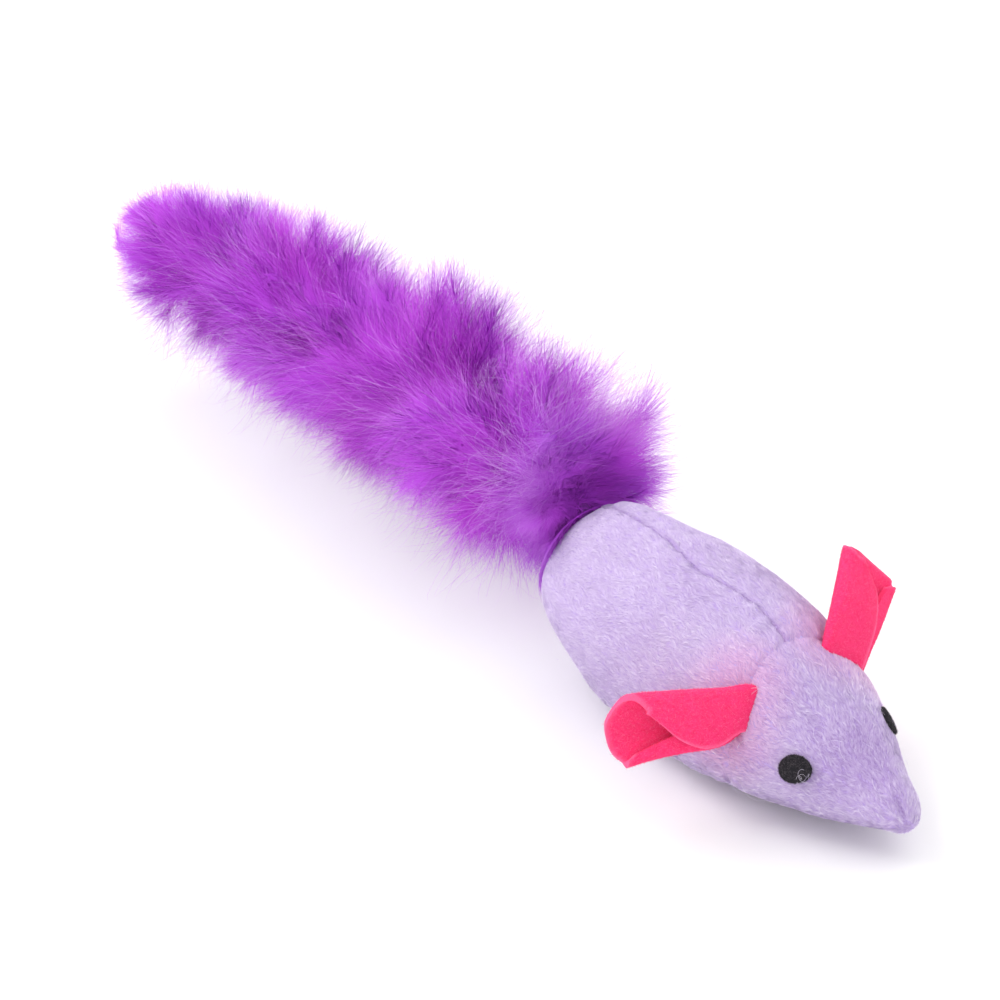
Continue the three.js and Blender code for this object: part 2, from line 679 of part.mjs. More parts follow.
function tailWhorls() {
  const starts = [BASE_START, MIDDLE_START, TIP_START];
  const whorls = [];
  [BASE_REACHES, MIDDLE_REACHES, TIP_REACHES].forEach((reaches, part) => {
    reaches.forEach((reach, k) => {
      const number = whorls.length + 1;
      const turn = radians(WHORL_TURN_ANGLE * number);
      const name = `plume_whorl_${String(number).padStart(2, '0')}`;
      const mesh = namedMesh(name, whorlGeometry(reach, turn), FEATHER_COLOUR, 0.9);
      mesh.position.y = starts[part] + WHORL_SPACING * k;
      whorls.push(mesh);
    });
  });
  return whorls;
}

function tail() {
  const group = new THREE.Group();
  group.position.z = TAIL_Z;
  group.add(...tailCords(), ...tailWhorls());
  return group;
}

const mouse = new THREE.Group();
mouse.add(
  ...plushPanels(),
  ...filling(),
  namedMesh('tail_cord_anchor', toGeometry(anchorSolid(0)), CORD_COLOUR, 0.8),
  eyeMesh('eye_left', 1),
  eyeMesh('eye_right', -1),
  earMesh('ear_left', 1, EAR_LEFT_SWEEP_ANGLE, EAR_LEFT_RISE_ANGLE),
  earMesh('ear_right', -1, EAR_RIGHT_SWEEP_ANGLE, EAR_RIGHT_RISE_ANGLE),
  tail(),
);

export default mouse;
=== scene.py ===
import bpy
import numpy as np
from mathutils import Matrix, Vector


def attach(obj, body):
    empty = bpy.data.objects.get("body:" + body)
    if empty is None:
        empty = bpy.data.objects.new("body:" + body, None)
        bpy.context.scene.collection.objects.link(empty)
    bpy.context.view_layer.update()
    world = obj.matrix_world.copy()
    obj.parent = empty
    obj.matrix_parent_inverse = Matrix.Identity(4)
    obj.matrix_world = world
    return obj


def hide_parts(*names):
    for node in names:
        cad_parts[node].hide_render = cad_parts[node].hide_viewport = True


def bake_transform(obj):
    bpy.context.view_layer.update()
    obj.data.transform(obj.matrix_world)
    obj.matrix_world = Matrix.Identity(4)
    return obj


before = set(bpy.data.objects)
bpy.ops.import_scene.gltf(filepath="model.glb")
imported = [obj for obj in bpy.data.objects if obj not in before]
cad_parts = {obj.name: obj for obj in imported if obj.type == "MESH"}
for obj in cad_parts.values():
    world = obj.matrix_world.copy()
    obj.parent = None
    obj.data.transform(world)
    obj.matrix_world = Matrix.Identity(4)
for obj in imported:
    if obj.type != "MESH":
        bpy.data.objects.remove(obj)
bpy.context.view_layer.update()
MM = 0.001

# Camera, as the photograph was taken
CAMERA_AZIMUTH = -35.908
CAMERA_ELEVATION = 33.043
CAMERA_ROLL = -2.589
CAMERA_DISTANCE = 662.4
CAMERA_TARGET = (-21.84, 37.45, 41.94)
CAMERA_FOCUS_PX = 3662.0
IMAGE_PX = 1000
SENSOR = 36.0

# The stuffed form, as the solids have it
RUMP_Y = 44.0
TRUNK_LENGTH = 60.0
BODY_LENGTH = 94.0
STATIONS = (0.0, 38.0, 60.0, 75.3, 94.0)
WIDTHS = (40.0, 39.2, 36.4, 24.8, 9.0)
TOPS = (35.2, 34.8, 30.2, 21.7, 12.0)
LIFTS = (1.7, -0.5, -0.3, 1.8, 4.6)
RUMP_POLE_Z = 20.2
RUMP_ROUND = 26.7
NOSE_POLE_Z = 8.6
NOSE_ROUND = 10.5
END_FULLNESS = 2.15
WAIST_SHARE = 0.45
BACK_FULLNESS = 1.88
BELLY_FULLNESS = 2.5
SEAM_SINK = 0.8
SEAM_SPREAD = 2.4
NECK_BOW = 3.4
BELLY_SEAM = np.radians(38.0)

# Skin under the pile
SKIN_DEPTH = 0.95
SEAM_TUCK = 1.4
BACK_COLUMNS = 26
BELLY_COLUMNS = 20
RUMP_ROWS = 22
TRUNK_ROWS = 22
HEAD_ROWS = 14
NOSE_ROWS = 10
POLE_SHARE = 0.03
SWELL_LIMIT = 0.85
LEAST_SWELL = 0.4
SEAM_FILL = 0.55
FLOOR_CLEAR = 0.12
CLOTH = {
    "quality": 6, "mass": 0.2, "tension_stiffness": 12, "compression_stiffness": 12, "shear_stiffness": 4,
    "bending_stiffness": 0.15, "vertex_group_mass": "seams", "shrink_min": -0.02, "use_pressure": True,
    "uniform_pressure_force": 4,
}
CLOTH_FRAMES = 20

# What the photographed outline takes off the form, and adds at the nose
FLANK_TRIM = 3.4
SHOULDER_TRIM = ((0, 0), (6, 1.9), (20, 2.3), (27, 1.2), (34, 0.4), (40, 0), (50, 0.4), (60, 0.8), (66, 0))
JAW_TRIM = 0.8
NOSE_SWELL = 1.1

# Creases sewn into the plush: depth and width of a seam's line, and the gathers beside it
CREASE_DEPTH = 0.38
CREASE_WIDTH = 0.4
GATHER_DEPTH = 0.26
GATHER_PITCH = 4.0
GATHER_REACH = 3.4
SEAM_WANDER = (
    (0, 2.0), (10, 1.6), (17, 0.2), (29, -0.3), (38, -1.5), (46, 0.4), (52, 1.2), (57, 0.6), (60, 0),
)
NOSE_CREASE = ((-0.76, -46.3, 12.6), (-0.86, -48.0, 11.0), (-1.0, -49.1, 9.4))
PUCKER = (-17.2, -17.5, 10.5)

# Single dents, each as its depth, its width, the darkness of the shade painted in it and that painted shade's
# width
EAR_DENT = (0.5, 2.2, 0.2, 1.1)
NOSE_DENT = (0.3, 0.45, 0.45, 0.35)
PUCKER_DENT = (0.6, 1.4, 0.2, 0.9)

# Pile
PILE_LENGTH = 0.85
PILE_WIDTH = 0.13
PILE_LEAN = 79.0
PILE_PER_MM2 = 60
PILE_LOWEST = 0.02
LOCK_LENGTH = 0.65
LOCK_WIDTH = 0.15
LOCK_SLOPE = 0.6

# Tone of the pile, from 0 dark to 1 pale, and what the photograph changes of it from place to place, as
# painted shade, painted light and a painted pink reflection
PILE_TONE = 0.57
TONE_BLOTCH = 0.06
TONE_SCATTER = 0.05
PILE_ROOT_PAINTED_SHADE = 0.12
PILE_TIP_PAINTED_LIGHT = 0.1
HEAD_MIDDLE_PAINTED_SHADE = 0.05
SNOUT_PAINTED_SHADE = 0.16
SNOUT_Y = -38
FAR_CHEEK_PAINTED_LIGHT = 0.16
RUMP_PAINTED_LIGHT = 0.07
# painted pink reflection of the ear felt on the plush: its share, and the reach over which it fades
EAR_REFLECTION_SHARE = 0.7
EAR_REFLECTION_REACH = (2, 13)

# Filling
STUFFING_DEPTH = 3.6
CATNIP_CENTRE = (0.0, 6.0, 7.3)
CATNIP_HALVES = (7.6, 11.6, 4.7)

# Eyes
EYE_AT = 75.3
EYE_Z = 15.6
EYE_TILT = 24.0
EYE_LENGTH = 5.7
EYE_HEIGHT = 4.9
EYE_THICKNESS = 1.1
EYE_SEATS = (-0.75, 0.0)
EYE_FIBRES = 3600
EYE_FIBRE = (0.6, 0.045)

# Ears: outlines of the folded leaf, each as pairs of a place along the ear and a place across it
FELT = 1.2
EAR_BASE_Z = 22.2
EAR_RIGHT = {
    "side": -1, "sweep": 26.0, "rise": -1.5,
    "root": (-3.5, -7.5), "base": ((2.0, -4.1), (-1.6, 4.3)),
    "fold": ((-5, 4.0), (1.3, 3.7), (7, 4.4), (13, 5.1), (18.5, 5.6), (22, 5.5)),
    "lower": ((-5, -3.1), (0.7, -3.8), (2.2, -4.9), (5.1, -5.5), (9.7, -5.4), (15.4, -5.6), (22, -6.4)),
    "flap_edge": ((-5, -3.0), (0.7, -3.7), (3, -4.9), (5, -5.5), (7.4, -5.3), (9.2, -4.5), (11.8, -2.6),
                  (14, 0.3), (16.2, 3.0), (18.2, 5.0)),
    "margin": ((-5, 2.0), (6, 2.8), (11.6, 2.3), (18.2, 0.9), (22, 0.25)),
    "rim": ((0, 21.4), (0.083, 22.2), (0.2, 22.9), (0.5, 23.4), (0.8, 23.2), (1, 22.0)),
    "margin_rim": 20.6, "fold_rim": (18.7, 16.4),
    "fold_radius": (1.3, 2.2), "lower_radius": (0.62, 0.64),
}
EAR_LEFT = {
    "side": 1, "sweep": 35.0, "rise": 13.0,
    "root": (-4.4, -6.8), "base": ((-0.3, -5.4), (-2.6, 5.7)),
    "fold": ((-5, 6.8), (-1.3, 7.4), (3.5, 7.9), (11.4, 9.1), (16, 9.7), (22, 9.7)),
    "lower": ((-5, -3.8), (-1.4, -3.9), (3.1, -4.0), (10.5, -4.6), (19.6, -5.1), (22, -5.3)),
    "flap_edge": ((-5, -3.4), (1, -2.6), (5, -1.9), (8.2, -1.1), (10.8, -0.1), (13.3, 1.8), (14.2, 3.7),
                  (15.6, 7.6)),
    "margin": ((-5, 2.4), (6, 3.0), (11.6, 2.6), (18.2, 1.5), (22, 0.6)),
    "rim": ((0, 21.9), (0.25, 22.2), (0.5, 21.9), (0.75, 20.8), (1, 18.6)),
    "margin_rim": 19.7, "fold_rim": (16.7, 15.4),
    "fold_radius": (1.25, 1.35), "lower_radius": (0.6, 0.7),
}
EAR_ROWS = 26
EAR_COLUMNS = (5, 6, 12, 7, 10)
CORE_Z = 12.0
TUCK_BEND = 0.45
MARGIN_SLANT = 1.2
FUZZ_PER_MM2 = 16
EAR_FIBRE = (0.75, 0.05)
EAR_BEVEL = 0.28
EAR_RIPPLES = ((6.0, 71, 0.1), (1.6, 72, 0.03))

# Tail
TAIL_Z = 29.0
TAIL_ROOT_Y = 45.0
CORD_RADIUS = 1.5
KNOT_RADIUS = 3.0
KNOT_FORWARD = 7.0
KNOT_DROP = 10.0
SWING_Y = 43.183
LIFT_Y = 46.783
CORD_END_Y = 179.083
WHORL_PLACES = (51.2, 61.6, 77.6, 88.0, 98.4, 108.8, 124.8, 135.2, 145.6, 156.0, 166.4, 176.8)
MIDDLE_BEND_Y = 69.583
TIP_BEND_Y = 116.783
TAIL_STEP = 6.0
TAIL_HIGH = (22.0, 31.0, 28.0, 27.0, 20.5, 29.5, 30.5, 34.0, 30.0, 26.5, 25.5, 20.6, 22.0, 20.5, 25.0, 24.2,
             21.4, 19.4, 16.8, 16.8, 14.5, 11.6, 10.8, 9.0, 9.0, 9.0, 7.5)
TAIL_LOW = (14.0, 16.5, 22.5, 22.6, 20.4, 17.8, 18.2, 19.4, 19.0, 19.4, 19.8, 20.4, 18.2, 18.4, 19.0, 18.2,
            16.8, 15.8, 17.4, 21.0, 23.5, 22.0, 15.5, 10.5, 7.5, 6.5, 6.0)
HIGH_SIDE = np.radians(20.0)
TAIL_TOP_Z = 53.0
TAIL_TOP_GIVE = 6.5
TAIL_LOWEST_Z = 0.3
LAST_Y = 192.0
LAST_GIVE = 8.2
RUMP_CLEAR = 0.4

# Down on the tail
PLUMES = 330
ROOT_PLUMES = 72
ROOT_PLUME_SIZE = 0.82
PLUME_END_Y = 184.0
BARBS_A_SIDE = 42
FIBRES_IN_BARB = 6
STRAND_PLACES = 4
STRAND_WIDTH = 0.05
CORD_FUZZ = 5200
CORD_FUZZ_END_Y = 51
WISPS = 13000
ROOT_WISPS = 520
WISP_PLACES = 6
WISP_WIDTH = 0.036
WISP_LENGTHS = (3.5, 10.5)
ROOT_WISP_LENGTHS = (7, 17)
TAIL_CUTS = (55.0, 66.0, 82.0, 98.0, 113.0, 128.0, 144.0, 161.0)
REACH_GIVE = 2.2
TUFT_ON_RUMP = (6, 3)
TUFT_SQUEEZE = 0.28

# Tone of the down, from 0 deep violet to 1 pale, and how much of the light its shadow rays pass
DOWN_TONE = 0.1
# painted shade deep in the down, painted light at the strands' ends and in the root tuft
DOWN_DEPTH_PAINTED_SHADE = 0.38
DOWN_TIP_PAINTED_LIGHT = 0.14
DOWN_ROOT_PAINTED_LIGHT = 0.16
BLOTCH_TONES = (0.12, 0.06)
DOWN_LETS_THROUGH = 0.86

# Loose fibres
STRAYS = 40
STRAY_WIDTH = 0.036
CURL_WIDTH = 0.03

# Stage
FLOOR_HALF = 6000.0
FLOOR_DROP = 0.02
FLOOR_GREY = 0.93
WORLD_LIGHT = 0.94
LAMPS_AIM = (0, 40, 20)
LAMPS = (
    ("key_lamp", (-480, 560, 900), 700, 6.0),
    ("far_lamp", (700, 420, 800), 700, 3.8),
    ("fill_lamp", (-480, -720, 240), 800, 1.3),
)


def clear_scene():
    """Nothing is left of Blender's first scene but the frame."""
    for thing in [o for o in bpy.data.objects if o.type in ("LIGHT", "CAMERA")]:
        bpy.data.objects.remove(thing)


def make_camera():
    """A camera on a sphere round its target, looking at it, turned about its own axis by the roll."""
    azimuth, elevation = np.radians((CAMERA_AZIMUTH, CAMERA_ELEVATION))
    back = Vector((
        np.sin(azimuth) * np.cos(elevation),
        -np.cos(azimuth) * np.cos(elevation),
        np.sin(elevation),
    ))
    target = Vector(CAMERA_TARGET) * MM
    lens = bpy.data.cameras.new("camera")
    lens.sensor_width = SENSOR
    lens.lens = CAMERA_FOCUS_PX * SENSOR / IMAGE_PX
    lens.clip_start = 0.01
    lens.clip_end = 100.0
    camera = bpy.data.objects.new("camera", lens)
    bpy.context.scene.collection.objects.link(camera)
    turn = back.to_track_quat("Z", "Y").to_matrix() @ Matrix.Rotation(np.radians(CAMERA_ROLL), 3, "Z")
    camera.matrix_world = Matrix.Translation(target + back * CAMERA_DISTANCE * MM) @ turn.to_4x4()
    bpy.context.scene.camera = camera


clear_scene()
make_camera()


# Numbers and meshes

def noise3(points, cell, seed):
    """Smooth value noise from -1 to 1: random values on a lattice, blended by smoothstep along each axis."""
    at = np.asarray(points, float) / cell
    low = np.floor(at).astype(np.int64)
    blend = at - low
    blend = blend * blend * (3 - 2 * blend)
    total = np.zeros(at.shape[:-1])
    for corner in range(8):
        step = np.array([corner & 1, corner >> 1 & 1, corner >> 2 & 1])
        cell_id = low + step
        mixed = cell_id[..., 0] * 73856093 ^ cell_id[..., 1] * 19349663 ^ cell_id[..., 2] * 83492791
        mixed = (mixed ^ seed * 2654435761) & 0xFFFFFFFF
        mixed = (mixed ^ mixed >> 15) * 2246822519 & 0xFFFFFFFF
        mixed = (mixed ^ mixed >> 13) * 3266489917 & 0xFFFFFFFF
        mixed = mixed ^ mixed >> 16
        value = mixed / 0xFFFFFFFF * 2 - 1
        weight = np.prod(np.where(step, blend, 1 - blend), axis=-1)
        total += value * weight
    return total


def noise_vectors(points, cell, seed):
    """Three value noises as a vector field."""
    return np.stack([noise3(points, cell, seed + k) for k in range(3)], axis=-1)


def unit(vectors):
    """Each vector over its own length."""
    return vectors / np.maximum(np.linalg.norm(vectors, axis=-1, keepdims=True), 1e-9)


def xyz(x, y, z):
    """Points from three arrays of coordinates, spread to a common shape."""
    return np.stack(np.broadcast_arrays(x, y, z), axis=-1)


def smoothstep(low, high, value):
    """0 below low, 1 above high, and a cubic ease between."""
    t = np.clip((value - low) / (high - low), 0, 1)
    return t * t * (3 - 2 * t)


def bell(away, width):
    """1 at no distance, falling off as a bell curve of that width."""
    return np.exp(-(away / width) ** 2)


def hermite(low, high, start, end, t):
    """A cubic from low to high whose slopes at its two ends are given, at t from 0 to 1."""
    rise = high - low
    return low + start * t + (3 * rise - 2 * start - end) * t ** 2 + (start + end - 2 * rise) * t ** 3


def new_piece(name, points, faces, material, uv=None, smooth=True):
    """A mesh from points in millimetres and one or more arrays of faces, with a UV pair for each point."""
    groups = faces if isinstance(faces, list) else [faces]
    mesh = bpy.data.meshes.new(name)
    loops = np.concatenate([g.ravel() for g in groups]).astype(np.int32)
    sizes = np.concatenate([np.full(len(g), g.shape[1]) for g in groups])
    mesh.vertices.add(len(points))
    mesh.vertices.foreach_set("co", (np.asarray(points) * MM).astype(np.float32).ravel())
    mesh.loops.add(len(loops))
    mesh.loops.foreach_set("vertex_index", loops)
    mesh.polygons.add(len(sizes))
    mesh.polygons.foreach_set("loop_start", np.concatenate([[0], np.cumsum(sizes)[:-1]]).astype(np.int32))
    mesh.update(calc_edges=True)
    if smooth:
        mesh.polygons.foreach_set("use_smooth", np.ones(len(sizes), bool))
    if uv is not None:
        layer = mesh.uv_layers.new(name="OFBake")
        layer.uv.foreach_set("vector", np.asarray(uv)[loops].astype(np.float32).ravel())
    mesh.materials.append(material)
    piece = bpy.data.objects.new(name, mesh)
    bpy.context.scene.collection.objects.link(piece)
    return piece


def grid_faces(rows, columns, wrapped=False):
    """Quads between the points of a grid stored row by row, joined round if wrapped."""
    index = np.arange(rows * columns).reshape(rows, columns)
    right = np.roll(index, -1, axis=1) if wrapped else index[:, 1:]
    left = index if wrapped else index[:, :-1]
    return np.stack([left[:-1], right[:-1], right[1:], left[1:]], axis=-1).reshape(-1, 4)


def grid_normals(grid, wrapped=False):
    """Unit normals of a grid of points: the cross product of its two central differences."""
    down = np.gradient(grid, axis=0)
    if wrapped:
        across = np.roll(grid, -1, axis=1) - np.roll(grid, 1, axis=1)
    else:
        across = np.gradient(grid, axis=1)
    return unit(np.cross(down, across))


def closed_rings(rings, poles):
    """Points and faces of a closed skin: rings joined round, each end drawn to its pole, all facing out."""
    rows, columns = rings.shape[:2]
    points = np.concatenate([rings.reshape(-1, 3), poles])
    ring = np.arange(columns)
    after = np.roll(ring, -1)
    last = (rows - 1) * columns
    first_fan = np.stack([np.full(columns, rows * columns), after, ring], axis=-1)
    last_fan = np.stack([np.full(columns, rows * columns + 1), last + ring, last + after], axis=-1)
    faces = [grid_faces(rows, columns, True), np.concatenate([first_fan, last_fan])]
    triangles = np.concatenate([faces[0][:, [0, 1, 2]], faces[0][:, [0, 2, 3]], faces[1]])
    a, b, c = (points[triangles[:, k]] for k in range(3))
    if (a * np.cross(b, c)).sum() < 0:
        faces = [f[:, ::-1] for f in faces]
    return points, faces


def smooth_through(places, values, at, level_ends=True):
    """A cubic through the places whose slope at each is the mean of its two neighbours' slopes."""
    places, values = np.array(places, float), np.array(values, float)
    slopes = np.diff(values) / np.diff(places)
    ends = (0, 0) if level_ends else (slopes[0], slopes[-1])
    tangents = np.concatenate([[ends[0]], (slopes[:-1] + slopes[1:]) / 2, [ends[1]]])
    at = np.clip(at, places[0], places[-1])
    k = np.clip(np.searchsorted(places, at, side="right") - 1, 0, len(slopes) - 1)
    span = places[k + 1] - places[k]
    t = (at - places[k]) / span
    return hermite(values[k], values[k + 1], tangents[k] * span, tangents[k + 1] * span, t)


# The stuffed form

def through_stations(values, distance):
    """Widths and heights of the form run smoothly through its five stations."""
    return smooth_through(STATIONS, values, distance)


def round_share(share):
    """The half width of a superellipse's end, from 0 at its pole to 1."""
    return (1 - (1 - np.clip(share, 0, 1)) ** END_FULLNESS) ** (1 / END_FULLNESS)


def end_share(distance):
    """How much of its full section the form has, less towards both round ends."""
    return round_share(distance / RUMP_ROUND) * round_share((BODY_LENGTH - distance) / NOSE_ROUND)


def neck_at(angle):
    """Where the neck seam lies, bowed forward at the sides."""
    return TRUNK_LENGTH + NECK_BOW * np.cos(angle) ** 2


def seam_sink(distance, angle):
    """Depth of the valleys: one bell curve across each seam, joined as a product of what they leave."""
    radius = through_stations(WIDTHS, distance) / 2 * end_share(distance)

    def valley(away):
        return 1 - bell(away, SEAM_SPREAD)

    def between(a, b):
        return np.abs(np.arctan2(np.sin(a - b), np.cos(a - b)))

    trunk = np.ones_like(radius)
    for seam in (np.pi / 2, -BELLY_SEAM, BELLY_SEAM - np.pi):
        trunk = trunk * valley(radius * between(angle, seam))
    head = valley(radius * between(angle, -np.pi / 2))
    left = valley(distance - neck_at(angle)) * np.where(distance < neck_at(angle), trunk, head)
    return SEAM_SINK * (1 - left) * end_share(distance) ** 2


def form_point(distance, angle, depth):
    """A point of the form: a superellipse section of that width, top and underside, set in by a depth."""
    distance, angle = np.broadcast_arrays(np.asarray(distance, float), np.asarray(angle, float))
    share = end_share(distance)
    pole = np.where(distance < BODY_LENGTH / 2, RUMP_POLE_Z, NOSE_POLE_Z)
    half = (through_stations(WIDTHS, distance) / 2 - depth) * share
    top = pole + (through_stations(TOPS, distance) - depth - pole) * share
    bottom = pole + (through_stations(LIFTS, distance) + depth - pole) * share
    waist = bottom + (top - bottom) * WAIST_SHARE
    cos, sin = np.cos(angle), np.sin(angle)
    power = 2 / np.where(sin > 0, BACK_FULLNESS, BELLY_FULLNESS)
    x = half * np.sign(cos) * np.abs(cos) ** power
    z = np.where(sin > 0, top - waist, waist - bottom) * np.sign(sin) * np.abs(sin) ** power
    kept = 1 - seam_sink(distance, angle) / np.maximum(np.hypot(x, z), 2)
    from_rump = depth * np.maximum(0, 1 - distance / RUMP_ROUND)
    from_nose = depth * np.maximum(0, 1 - (BODY_LENGTH - distance) / NOSE_ROUND)
    y = RUMP_Y - distance - from_rump + from_nose
    return np.stack([x * kept, y, np.maximum(waist + z * kept, 0)], axis=-1)


def skin_angles():
    """Angles round the form with a column on every seam: left back, right back, then belly."""
    left = np.linspace(-BELLY_SEAM, np.pi / 2, BACK_COLUMNS, endpoint=False)
    right = np.linspace(np.pi / 2, np.pi + BELLY_SEAM, BACK_COLUMNS, endpoint=False)
    belly = np.linspace(np.pi + BELLY_SEAM, 2 * np.pi - BELLY_SEAM, BELLY_COLUMNS, endpoint=False)
    return np.concatenate([left, right, belly])


def skin_distances(angle):
    """Rows from the rump pole to the nose pole, evenly spaced round both ends, one on the neck seam."""
    def round_end(count, radius):
        share = np.sin(np.linspace(0, np.pi / 2, count + 1))
        return radius * (1 - (1 - share ** END_FULLNESS) ** (1 / END_FULLNESS))

    def at_pole(radius):
        return radius * (1 - (1 - POLE_SHARE ** END_FULLNESS) ** (1 / END_FULLNESS))

    rump = np.append(at_pole(RUMP_ROUND), round_end(RUMP_ROWS, RUMP_ROUND)[1:-1])
    trunk = np.linspace(RUMP_ROUND, neck_at(angle), TRUNK_ROWS, endpoint=False)
    head = np.linspace(neck_at(angle), BODY_LENGTH - NOSE_ROUND, HEAD_ROWS, endpoint=False)
    nose = BODY_LENGTH - np.append(round_end(NOSE_ROWS, NOSE_ROUND)[::-1][:-1], at_pole(NOSE_ROUND))
    ring = np.ones_like(angle)
    return np.concatenate([rump[:, None] * ring, trunk, head, nose[:, None] * ring])


NECK_ROW = RUMP_ROWS + TRUNK_ROWS
SKIN_ANGLES = skin_angles()
SKIN_DISTANCES = skin_distances(SKIN_ANGLES)
DORSAL_COLUMN = BACK_COLUMNS
RIGHT_BELLY_COLUMN = 2 * BACK_COLUMNS
CHIN_COLUMN = 2 * BACK_COLUMNS + BELLY_COLUMNS // 2


def seam_mask():
    """True on the skin's grid points that the seams hold."""
    held = np.zeros(SKIN_DISTANCES.shape, bool)
    held[:NECK_ROW, [0, DORSAL_COLUMN, RIGHT_BELLY_COLUMN]] = True
    held[NECK_ROW] = True
    held[NECK_ROW:, CHIN_COLUMN] = True
    held[:2] = True
    held[-2:] = True
    return held


def softened(values, passes):
    """A ring grid's values evened out: each pass mixes a value with its four neighbours."""
    for _ in range(passes):
        values = values / 2 + (np.roll(values, 1, axis=1) + np.roll(values, -1, axis=1)) / 4
        ends = np.concatenate([values[:1], values, values[-1:]])
        values = values / 2 + (ends[:-2] + ends[2:]) / 4
    return values


def trimmed(normals):
    """What the photographed outline adds to the form: slimmer flanks, shoulders and jaw, a fuller nose."""
    sideways = np.abs(normals[..., 0])
    flank = smoothstep(-0.15, 0.4, -normals[..., 2]) * smoothstep(0.3, 0.8, sideways)
    jaw = smoothstep(0.15, 0.7, -normals[..., 2])
    shoulder = smoothstep(0.25, 0.6, normals[..., 2]) * smoothstep(0.25, 0.6, sideways)
    d = SKIN_DISTANCES
    nose = bell(d - 89.5, 4) * smoothstep(-0.3, 0.2, normals[..., 2])
    flank = FLANK_TRIM * flank * bell(d - 14, 10)
    shoulder = shoulder * np.interp(d, *np.array(SHOULDER_TRIM).T)
    jaw = JAW_TRIM * jaw * smoothstep(50, 60, d) * (1 - smoothstep(88, 93, d))
    return NOSE_SWELL * nose - flank - shoulder - jaw


def stuffed_skin():
    """The skin's grid: the form set in by its pile, swollen by cloth simulation along its normals."""
    start = form_point(SKIN_DISTANCES, SKIN_ANGLES, SKIN_DEPTH)
    off_seam = SKIN_ANGLES - np.pi / 2
    wander = np.interp(SKIN_DISTANCES, *np.array(SEAM_WANDER).T) * bell(off_seam, 0.9)
    start[..., 0] += wander * np.where(np.abs(off_seam) < np.pi / 2, np.sin(SKIN_ANGLES), 0)
    normals = -grid_normals(start, True)
    change = trimmed(normals) + SEAM_FILL * seam_sink(SKIN_DISTANCES, SKIN_ANGLES)
    start = start + normals * change[..., None]
    rows, columns = SKIN_DISTANCES.shape
    points, faces = closed_rings(start, form_point(np.array([0, BODY_LENGTH]), 0, SKIN_DEPTH))
    bag = new_piece("skin_bag", points, faces, bpy.data.materials.new("skin_bag"))
    held = bag.vertex_groups.new(name=CLOTH["vertex_group_mass"])
    poles = [rows * columns, rows * columns + 1]
    held.add([int(k) for k in np.flatnonzero(seam_mask())] + poles, 1.0, "ADD")
    cloth = bag.modifiers.new("cloth", "CLOTH")
    for key, value in CLOTH.items():
        setattr(cloth.settings, key, value)
    cloth.settings.effector_weights.gravity = 0
    cloth.collision_settings.use_collision = False
    scene = bpy.context.scene
    for number in range(1, CLOTH_FRAMES + 1):
        scene.frame_set(number)
    swollen = bag.evaluated_get(bpy.context.evaluated_depsgraph_get()).to_mesh()
    end = np.empty(len(swollen.vertices) * 3, np.float32)
    swollen.vertices.foreach_get("co", end)
    end = end.reshape(-1, 3)[:rows * columns].reshape(rows, columns, 3) / MM
    scene.frame_set(1)
    bpy.data.objects.remove(bag)
    swell = np.clip(((end - start) * normals).sum(-1), 0, SWELL_LIMIT)
    swell = LEAST_SWELL + (1 - LEAST_SWELL / SWELL_LIMIT) * softened(swell, 3)
    grid = start + normals * swell[..., None]
    grid[..., 2] = np.maximum(grid[..., 2], FLOOR_CLEAR)
    return grid


def ear_frame(ear):
    """Where an ear is sewn: its place on the neck seam, and its length, width and front directions."""
    side, sweep, rise = ear["side"], np.radians(ear["sweep"]), np.radians(ear["rise"])

    def seam(angle):
        return form_point(neck_at(angle), angle if side > 0 else np.pi - angle, 0)

    sample = np.linspace(0, np.pi / 2, 400)
    heights = np.array([seam(a)[2] for a in sample])
    angle = np.interp(EAR_BASE_Z, heights, sample)
    out = np.array([side * np.cos(rise) * np.cos(sweep), np.cos(rise) * np.sin(sweep), np.sin(rise)])
    along_seam = seam(angle + 0.15) - seam(angle - 0.15)
    up = unit(along_seam - out * (along_seam * out).sum())
    return seam(angle), np.stack([out, up, -side * np.cross(up, out)])


def from_segment(points, start, end):
    """Distance of each point from a straight line between two ends."""
    start, end = np.array(start, float), np.array(end, float)
    share = np.clip(((points - start) @ (end - start)) / ((end - start) ** 2).sum(), 0, 1)
    return np.linalg.norm(points - start - share[..., None] * (end - start), axis=-1)


def ear_base(ear):
    """The line in space along which an ear's felt enters the plush."""
    seat, axes = ear_frame(ear)
    return [seat + place[0] * axes[0] + place[1] * axes[1] for place in ear["base"]]


EAR_BASES = [ear_base(ear) for ear in (EAR_LEFT, EAR_RIGHT)]


def dents(points):
    """Depth and painted shade of the plush's single dents: round the ears' roots, on the nose and below an
    ear.
    """
    from_nose = np.minimum(from_segment(points, *NOSE_CREASE[:2]), from_segment(points, *NOSE_CREASE[1:]))
    from_pucker = np.linalg.norm(points - np.array(PUCKER), axis=-1)
    places = [(from_segment(points, *base), EAR_DENT) for base in EAR_BASES]
    places += [(from_nose, NOSE_DENT), (from_pucker, PUCKER_DENT)]
    depth, painted_crease_shade = np.zeros(points.shape[:-1]), np.zeros(points.shape[:-1])
    for away, (deep, width, shade, shade_width) in places:
        depth += deep * bell(away, width)
        # painted shade in the dent
        painted_crease_shade = np.maximum(painted_crease_shade, shade * bell(away, shade_width))
    return depth, painted_crease_shade


# Materials

def srgb(red, green, blue):
    """A colour given as 0 to 255 in the picture's own terms, as linear light."""
    c = np.array([red, green, blue]) / 255
    linear = np.where(c <= 0.04045, c / 12.92, ((c + 0.055) / 1.055) ** 2.4)
    return (*[float(v) for v in linear], 1.0)


def stops(*places):
    """Colour stops from rows of a place, red, green and blue."""
    return [(place, srgb(*colour)) for place, *colour in places]


